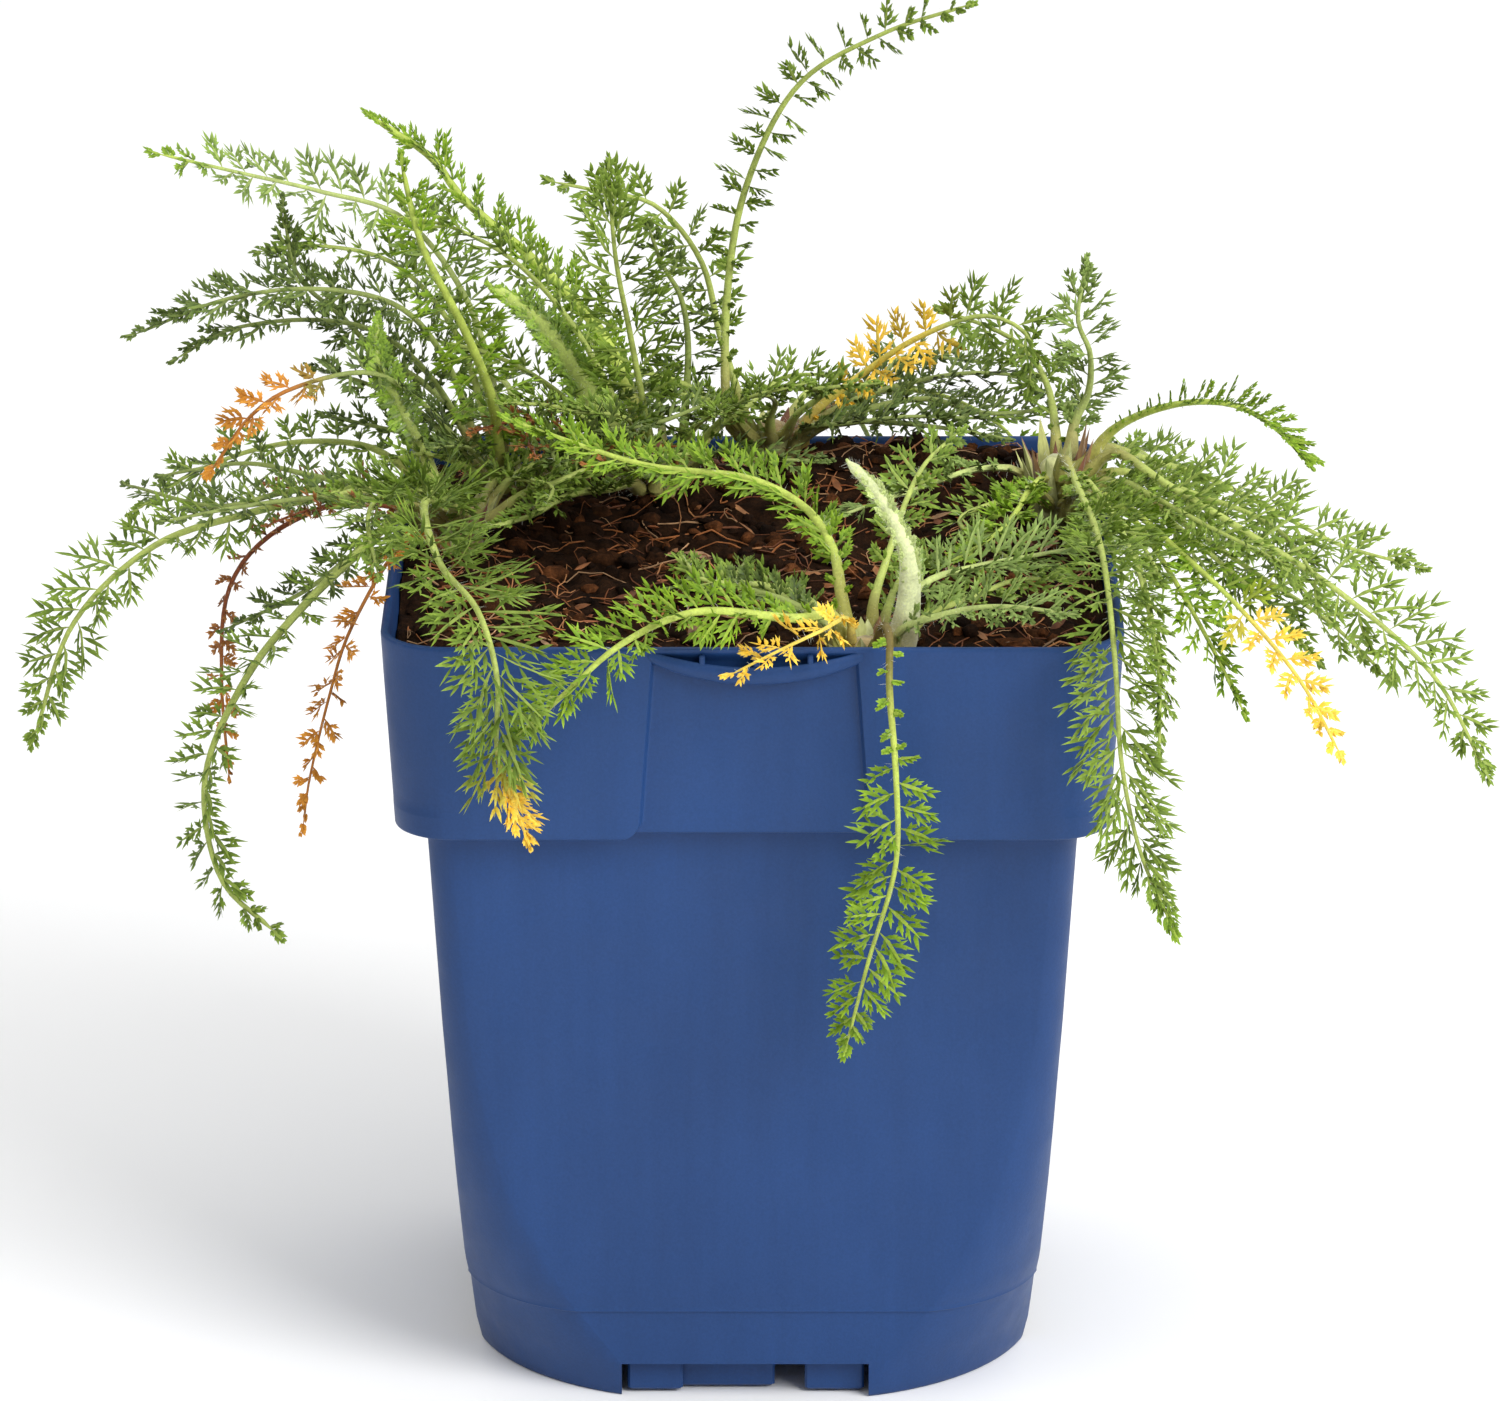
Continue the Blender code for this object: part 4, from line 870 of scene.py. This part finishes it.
def ring_points(half, corner, height, crease=0.0, edge=None):
    """A rounded square, anticlockwise, with points gathered at the panel's edges; also each point's way out
    and its share of the panel's depth."""
    flat = half - corner
    radius = corner * math.sqrt(0.5) / math.sin(math.pi / 4 - crease)
    reach = half - radius * math.cos(crease)
    edge = min(edge if edge else PANEL_FOOT_HALF, flat - 1.5)
    points, ways, sunk = [], [], []
    for quarter in range(4):
        turn = quarter * math.pi / 2
        centre = reach * np.array(SQUARE[(quarter + 2) % 4])
        for step in range(CORNER_STEPS + 1):
            angle = turn + crease + step / CORNER_STEPS * (math.pi / 2 - 2 * crease)
            way = np.array([math.cos(angle), math.sin(angle)])
            points.append(centre + radius * way)
            ways.append(way)
            sunk.append(0.0)
        way = np.array([math.cos(turn + math.pi / 2), math.sin(turn + math.pi / 2)])
        along = np.array([-way[1], way[0]])
        middle = PANEL_CENTRE if quarter == 2 else 0.0
        first, last = STEP_PROFILE[0][0], STEP_PROFILE[-1][0]
        slides = [(-flat + (flat - edge - first) * step / WING_STEPS, 0.0) for step in range(1, WING_STEPS)]
        slides += [(-edge - offset, amount) for offset, amount in STEP_PROFILE]
        slides += [(-(edge + last) * (1 - 2 * step / PANEL_STEPS), 1.0) for step in range(1, PANEL_STEPS)]
        slides += [(edge + offset, amount) for offset, amount in reversed(STEP_PROFILE)]
        slides += [(-slide, 0.0) for slide, _ in slides[WING_STEPS - 2::-1]]
        for slide, amount in slides:
            shift = middle * (1 - abs(slide) / flat)
            points.append(way * half + along * (slide + shift))
            ways.append(way)
            sunk.append(amount)
    points, ways = np.array(points), np.array(ways)
    return np.c_[points, np.full(len(points), height)], np.c_[ways, np.zeros(len(ways))], np.array(sunk)


def make_pot(material):
    rings = []

    def ring(half, corner, height, crease=0.0, sink=0.0, rise=0.0):
        points, ways, sunk = ring_points(half, corner, height, crease, panel_edge(height))
        points = points - ways * (PANEL_DEPTH * sink * sunk)[:, None]
        points[:, 2] += rise * sunk
        rings.append(points)

    def body_ring(height, out=0.0):
        half, corner = body_at(height)
        ring(half + out, corner, height, CREASE)

    # From the middle of the floor's upper side, up the inner wall, over the rim, down outside, and in under
    floor_top = FLOOR_UNDERSIDE + FLOOR_THICK
    half, corner = body_at(floor_top)
    for share in (0.25, 0.6, 0.97):
        ring((half - WALL) * share, corner * 0.9 * share, floor_top, CREASE)
    for height in np.linspace(floor_top + 1, COLLAR_FOOT + 0.5, 12):
        half, corner = body_at(height)
        ring(half - WALL, max(corner - 1, 2.5), height, CREASE)
    ring(SHOULDER_HALF - WALL + 0.3, 4.5, COLLAR_FOOT + 1.4)
    ring(COLLAR_FOOT_HALF - WALL - 0.8, COLLAR_CORNER - 1, COLLAR_FOOT + 2.4)
    for height in np.linspace(COLLAR_FOOT + 4, POT_HEIGHT - 0.6, 10):
        ring(collar_half(height) - WALL, RIM_CORNER - 1.2, height)
    for out, down in ((-1.15, 0.25), (-0.95, 0.06), (-0.6, 0.0), (-0.28, 0.05), (-0.08, 0.25)):
        ring(RIM_HALF + out, RIM_CORNER + out, POT_HEIGHT - down)
    for height in np.linspace(POT_HEIGHT - 0.6, POT_HEIGHT - 3.4, 9):
        ring(collar_half(height), RIM_CORNER, height, 0, smooth(POT_HEIGHT - height, 0.4, 2.4))
    for height in np.linspace(POT_HEIGHT - 5, COLLAR_FOOT + 4.2, 16):
        ring(collar_half(height), RIM_CORNER - 0.4, height, 0, 1.0)
    for above in np.linspace(3.6, 0.45, 15):
        ring(collar_half(COLLAR_FOOT + above), COLLAR_CORNER, COLLAR_FOOT + above, 0, 1.0,
             PANEL_RISE * (1 - smooth(above, 0, 3.6)))
    for inward, above in ((0.03, 0.26), (0.12, 0.12), (0.30, 0.03), (0.55, 0.0)):
        ring(COLLAR_FOOT_HALF - inward, COLLAR_CORNER - inward, COLLAR_FOOT + above, 0, 1.0, PANEL_RISE)
    for out, corner, down, share in ((2.0, 6.5, 0.02, 0.5), (0.5, 4.4, 0.06, 1.0), (0.1, 4.0, 0.4, 1.0)):
        ring(SHOULDER_HALF + out, corner, COLLAR_FOOT - down, CREASE * share, 0, PANEL_RISE)
    for height in np.linspace(COLLAR_FOOT - 1.5, BAND_HEIGHT + 1.2, 42):
        body_ring(height)
    for out, above in ((0.0, 0.5), (0.07, 0.26), (0.10, 0.16), (0.05, 0.06), (-0.16, 0.0), (-0.20, -0.3)):
        body_ring(BAND_HEIGHT + above, out)
    for height in np.linspace(BAND_HEIGHT - 1.5, 0.6, 12):
        body_ring(height, -0.2)
    half, corner = body_at(0)
    for inward, height in ((0.3, 0.18), (0.6, 0.0), (1.6, 0.0), (1.9, 0.3), (1.8, FLOOR_UNDERSIDE)):
        bottom = corner if height < 1 else corner - 4
        ring(half - inward, bottom - inward * 0.85, height, CREASE)
    for share in (0.6, 0.25):
        ring((half - 2) * share, corner * 0.85 * share, FLOOR_UNDERSIDE, CREASE)

    shape = Shape()
    loft(shape, rings, clockwise=True)
    pot = shape.make("pot_body", material, "pot_plastic", ("pot",), 40)
    cut_feet(pot)

    trim = Shape()
    lip_parts(trim)
    for low_x, high_x, near, far in FOOT_BLOCKS:
        for low_y, high_y in ((-far, -near), (near, far)):
            low = (low_x, low_y, FOOT_BLOCK_UNDERSIDE)
            rounded_block(trim, low, (high_x, high_y, FLOOR_UNDERSIDE + 0.4), 0.35)
    trim.make("pot_trim", material, "pot_plastic", (), 35)


def rounded_block(shape, low, high, soft):
    """A box with its edges taken off."""
    (x0, y0, z0), (x1, y1, z1) = low, high
    rings = []
    for height, inset in ((z0, soft), (z0 + soft, 0.0), (z1 - soft, 0.0), (z1, soft)):
        a, b, c, d = x0 + inset, x1 - inset, y0 + inset, y1 - inset
        rings.append(np.array([
            (a + soft, c, height), (b - soft, c, height), (b, c + soft, height), (b, d - soft, height),
            (b - soft, d, height), (a + soft, d, height), (a, d - soft, height), (a, c + soft, height),
        ]))
    loft(shape, rings)


def lip_parts(shape):
    """The bowed lip with its rolled edge, and the ribs between it and the rim."""
    shares = np.linspace(-1, 1, 61)
    rings = []
    for share in shares:
        x = LIP_CENTRE + LIP_HALF * share
        bulge = (1 - share * share)
        face = -(RIM_HALF - 0.9)
        out = face - 0.9 - LIP_BOW * bulge
        top = POT_HEIGHT - 0.5 - LIP_DIP * bulge
        tall = LIP_TALL * (0.55 + 0.45 * bulge ** 0.5)
        section = (
            (face + 0.6, 2.6 * tall), (out + 0.75, 2.3 * tall), (out + 0.25, 2.05 * tall),
            (out, 1.6 * tall), (out - 0.12, tall), (out, 0.4 * tall), (out + 0.25, 0.08 * tall),
            (out + 0.5, 0), (out + 0.8, 0.15), (out + 0.95, 0.6 * tall), (face + 0.6, 1.5 * tall),
        )
        rings.append(np.array([(x, y, top - down) for y, down in section]))
    loft(shape, rings)
    for x in RIB_AT:
        low = (x - 0.42, -(RIM_HALF + 0.9), POT_HEIGHT - 4.0)
        rounded_block(shape, low, (x + 0.42, -(RIM_HALF - 1.0), POT_HEIGHT - 1.0), 0.18)


def cut_feet(pot):
    """The four notches between the feet and the drain holes, cut and applied."""
    group = bpy.data.collections.new("cutters")
    bpy.context.scene.collection.children.link(group)
    cutters = []
    for middle, wide, deep in ((NOTCH_CENTRE, NOTCH_HALF, RIM_HALF), (0, RIM_HALF, NOTCH_HALF)):
        corners = [(middle + x * wide, y * deep) for x, y in SQUARE]
        cutters.append(prism(corners, -1, NOTCH_HEIGHT))
    turns = np.arange(32) / 32 * 2 * math.pi
    circle = DRAIN_RADIUS * np.stack([np.cos(turns), np.sin(turns)], -1)
    for corner in SQUARE:
        place = circle + np.multiply(corner, DRAIN_SPREAD)
        cutters.append(prism(place, FLOOR_UNDERSIDE - 1, FLOOR_UNDERSIDE + 3))
    for cutter in cutters:
        group.objects.link(cutter)
    modifier = pot.modifiers.new("feet", "BOOLEAN")
    modifier.operation = "DIFFERENCE"
    modifier.operand_type = "COLLECTION"
    modifier.collection = group
    modifier.solver = "MANIFOLD"
    graph = bpy.context.evaluated_depsgraph_get()
    result = bpy.data.meshes.new_from_object(pot.evaluated_get(graph))
    pot.modifiers.clear()
    pot.data = result
    for cutter in cutters:
        bpy.data.objects.remove(cutter)
    bpy.data.collections.remove(group)


def prism(outline, low, high):
    """A closed upright prism for cutting, over an anticlockwise outline."""
    count = len(outline)
    points = np.concatenate([np.c_[outline, np.full(count, height)] for height in (low, high)]) * MM
    faces = [tuple(range(count - 1, -1, -1)), tuple(range(count, 2 * count))]
    faces += [(i, (i + 1) % count, count + (i + 1) % count, count + i) for i in range(count)]
    mesh = bpy.data.meshes.new("cutter")
    mesh.from_pydata(points.tolist(), [], faces)
    return bpy.data.objects.new("cutter", mesh)


# The soil


def value_noise(x, y, scale, seed):
    """Smooth noise from a seeded lattice."""
    lattice = np.random.default_rng(seed).uniform(-1, 1, (96, 96))
    u, v = x / scale + 40, y / scale + 40
    i, j = np.floor(u).astype(int), np.floor(v).astype(int)
    fu, fv = u - i, v - j
    fu, fv = fu * fu * (3 - 2 * fu), fv * fv * (3 - 2 * fv)
    i, j = i % 95, j % 95
    low = lattice[i, j] * (1 - fu) + lattice[i + 1, j] * fu
    high = lattice[i, j + 1] * (1 - fu) + lattice[i + 1, j + 1] * fu
    return low * (1 - fv) + high * fv


def soil_top(x, y):
    height = soil_height(x, y)
    for index, (tall, wide) in enumerate(ROUGHNESS):
        height = height + tall * value_noise(x, y, wide, index + 1)
    return height


def make_soil(material):
    """The rough top over the plain body, in one closed mesh of rings out to the pot's inner wall."""
    half = collar_half(SOIL_EDGE_TOP) - WALL - 0.25
    rings = []
    for height in (30.0, 60.0, COLLAR_FOOT - 1):
        body, corner = body_at(height)
        rings.append(ring_points(body - WALL - 0.3, max(corner - 1, 2.5), height, CREASE)[0])
    rings.append(ring_points(COLLAR_FOOT_HALF - WALL - 1.2, COLLAR_CORNER - 1, COLLAR_FOOT + 4)[0])
    edge = ring_points(half, RIM_CORNER - 1.2, SOIL_EDGE_TOP)[0]
    for level in range(SOIL_LEVELS):
        share = 1 - level / SOIL_LEVELS
        ring = edge * share
        ring[:, 2] = soil_top(ring[:, 0], ring[:, 1])
        rings.append(ring)
    shape = Shape()
    loft(shape, rings, colour(*PEAT))
    shape.make("soil_bed", material, "soil", ("soil",), 70)

    draw = np.random.default_rng(CRUMB_SEED)
    bits = Shape()
    x = draw.uniform(-1, 1, CRUMBS)
    y = draw.uniform(-1, 1, CRUMBS)
    size = draw.uniform(0.5, 1.6, CRUMBS) * np.where(draw.uniform(0, 1, CRUMBS) < 0.10, 1.5, 1.0)
    room = half - 0.4 - 1.8 * size
    for place in zip(x * room, y * room, size):
        clod(bits, draw, *place)
    bits.make("soil_crumbs", material, "soil", (), 60)


def clod(shape, draw, x, y, size):
    """A lump of peat: a small ball of rings, pulled about."""
    rings = []
    squash = draw.uniform(0.5, 0.9)
    centre = np.array([x, y, soil_top(np.array(x), np.array(y)) + size * 0.15])
    tone = colour(*draw.choice(CRUMB_TONES)) * draw.uniform(0.7, 1.2)
    stretch = draw.uniform(0.7, 1.5)
    turn = draw.uniform(0, math.pi)
    for latitude in (-60, -20, 20, 60):
        angle = math.radians(latitude)
        turns = np.arange(6) / 6 * 2 * math.pi + draw.uniform(0, 0.4)
        reach = size * math.cos(angle) * draw.uniform(0.75, 1.2, 6)
        px, py = reach * np.cos(turns) * stretch, reach * np.sin(turns)
        ring = np.stack([
            px * math.cos(turn) - py * math.sin(turn), px * math.sin(turn) + py * math.cos(turn),
            np.full(6, size * squash * math.sin(angle)) + draw.uniform(-0.12, 0.12, 6) * size,
        ], -1)
        rings.append(centre + ring)
    loft(shape, rings, tone)


def make_fibres(material):
    """Coir and root threads lying on the soil, some standing out of it, and small flat chips."""
    draw = np.random.default_rng(FIBRE_SEED)
    shape = Shape()
    half = collar_half(SOIL_EDGE_TOP) - WALL - 2
    for _ in range(FIBRES):
        steps = draw.integers(5, 9)
        length = draw.uniform(4, 17)
        x, y = draw.uniform(-half, half, 2)
        heading = draw.uniform(0, 2 * math.pi)
        bend = draw.normal(0, 0.35)
        arch = draw.uniform(0.1, 1.6) if draw.uniform() < 0.35 else draw.uniform(0.0, 0.4)
        line = []
        for step in range(steps):
            share = step / (steps - 1)
            line.append((x, y, 0.15 + arch * math.sin(math.pi * share)))
            x += length / steps * math.cos(heading)
            y += length / steps * math.sin(heading)
            heading += bend + draw.normal(0, 0.22)
        line = np.array(line)
        line[:, :2] = np.clip(line[:, :2], -half, half)
        line[:, 2] += soil_top(line[:, 0], line[:, 1])
        tone = colour(*FIBRE_TONES[draw.integers(len(FIBRE_TONES))]) * draw.uniform(0.6, 1.1)
        radii = draw.uniform(0.07, 0.17) * np.linspace(1, 0.5, steps)
        tube(shape, line, radii, 4, tone)
    shape.make("soil_fibres", material, "soil", (), 60)
    chips = Shape()
    x, y = draw.uniform(-half + 5, half - 5, (2, CHIPS))
    foot = np.stack([x, y, soil_top(x, y) + 0.25], -1)
    turn = draw.uniform(0, 2 * math.pi, CHIPS)
    out = headings(turn, draw.normal(0.05, 0.25, CHIPS))
    wide = headings(turn + math.pi / 2, draw.normal(0, 0.3, CHIPS))
    tone = drawn_tones(draw, FIBRE_TONES, CHIPS) * draw.uniform(0.4, 1.0, (CHIPS, 1))
    length, width = draw.uniform(1.5, 5.0, CHIPS), draw.uniform(0.6, 1.6, CHIPS)
    blades(chips, foot, out, wide, length, width, np.zeros((CHIPS, 3)), tone, tone * 0.9)
    chips.make("soil_chips", material, "soil", (), 40)


# The crowns


def make_crowns(material, hair_shape):
    draw = np.random.default_rng(CROWN_SEED)
    for key, (x, y, rise, radius) in CROWNS.items():
        shape = Shape()
        ground = float(soil_height(x, y))
        rings = []
        turns = np.arange(BUD_SIDES) / BUD_SIDES * 2 * math.pi
        for above, share in (
            (-9.0, 0.9), (-1.0, 1.0), (0.6, 1.04), (rise * 0.35, 0.96), (rise * 0.7, 0.90),
            (1.0 + rise * 0.9, 0.70), (1.2 + rise, 0.35),
        ):
            ribs = 1 + 0.07 * np.sin(turns * 5 + above) + draw.uniform(-0.05, 0.05, BUD_SIDES)
            reach = radius * share * ribs * 0.97
            rings.append(np.array([x, y, ground + above]) + headings(turns) * reach[:, None])
        loft(shape, rings, colour(*(PALE_BUD if key == "c" else BUD)))
        # Sheaths: the broad feet of the leaves, wrapped up and outward round the bud
        turn = np.arange(SHEATHS) / SHEATHS * 2 * math.pi + draw.uniform(-0.2, 0.2, SHEATHS)
        way = headings(turn)
        foot = np.array([x, y, ground]) + way * radius * 0.82
        foot[:, 2] += draw.uniform(-0.6, rise * 0.4, SHEATHS)
        out = unit(way * draw.uniform(0.05, 0.35, (SHEATHS, 1)) + np.array([0, 0, 1.0]))
        wide = np.cross(out, way)
        tone = drawn_tones(draw, SHEATH_TONES, SHEATHS)
        length, width = draw.uniform(0.8, 1.15, SHEATHS) * (rise + 2.2), draw.uniform(1.8, 3.0, SHEATHS)
        blades(shape, foot, out, wide, length, width, way * 0.7, tone, tone * 1.15, thick=0.5)
        node = "crown_" + key
        shape.make("crown_bud_" + key, material, frame_slot(node, "crown_wood"), (node,), 50)
        turn = draw.uniform(0, 2 * math.pi, CROWN_HAIRS)
        way = headings(turn)
        foot = np.array([x, y, ground]) + way * radius
        foot[:, 2] += draw.uniform(0.5, rise + 1, CROWN_HAIRS)
        aim = way + np.array([0, 0, 0.5]) + draw.normal(0, 0.3, (CROWN_HAIRS, 3))
        hairs(hair_shape, foot, aim, draw.uniform(0.6, 1.8, CROWN_HAIRS))


# Light, floor and camera


def add_area(name, place, aim, side, power):
    light = bpy.data.lights.new(name, "AREA")
    light.shape = "RECTANGLE"
    light.size = light.size_y = side
    light.energy = power
    x, y, z = np.subtract(aim, place)
    place_object(name, light, place, (math.atan2(math.hypot(x, y), -z), 0, math.atan2(y, x) - math.pi / 2))


def add_studio():
    world = bpy.data.worlds.new("studio")
    bpy.context.scene.world = world
    world.use_nodes = True
    background = world.node_tree.nodes["Background"]
    background.inputs["Color"].default_value = (1.0, 1.0, 1.0, 1.0)
    background.inputs["Strength"].default_value = SKY_STRENGTH
    for name, row in LIGHTS.items():
        add_area(name, *row)
    mesh = bpy.data.meshes.new("floor")
    corners = [(x * FLOOR_HALF, y * FLOOR_HALF, 0) for x, y in SQUARE]
    mesh.from_pydata(corners, [], [(0, 1, 2, 3)])
    mesh.materials.append(floor_material())
    floor = place_object("floor", mesh)
    bpy.context.scene.view_settings.view_transform = "Standard"


def add_camera():
    camera = bpy.data.cameras.new("camera")
    camera.sensor_width = SENSOR_WIDTH
    camera.lens = LENS
    camera.clip_end = CAMERA_REACH
    place = [value * MM for value in CAMERA_PLACE]
    bpy.context.scene.camera = place_object("camera", camera, place, (math.pi / 2 - CAMERA_TILT, 0, 0))


add_camera()
add_studio()
make_pot(pot_material())
make_soil(soil_material())
make_fibres(fibre_material())
leaf = leaf_material("leaf", 0.52, 0.02)
woolly = leaf_material("young_leaf", 0.66, 0.35)
grown = [
    make_frond(entry, FROND_SEED + index, woolly if entry[6] == "folded" else leaf)
    for index, entry in enumerate(read_fronds(FRONDS))
]
all_hairs = Shape()
for made in grown + make_thickets(leaf):
    all_hairs.add(np.concatenate(made.points), np.concatenate(made.faces), np.ones(3))
make_crowns(crown_material(), all_hairs)
all_hairs.make("leaf_hairs", hair_material(), "leaf_young_hairy", (), 60)
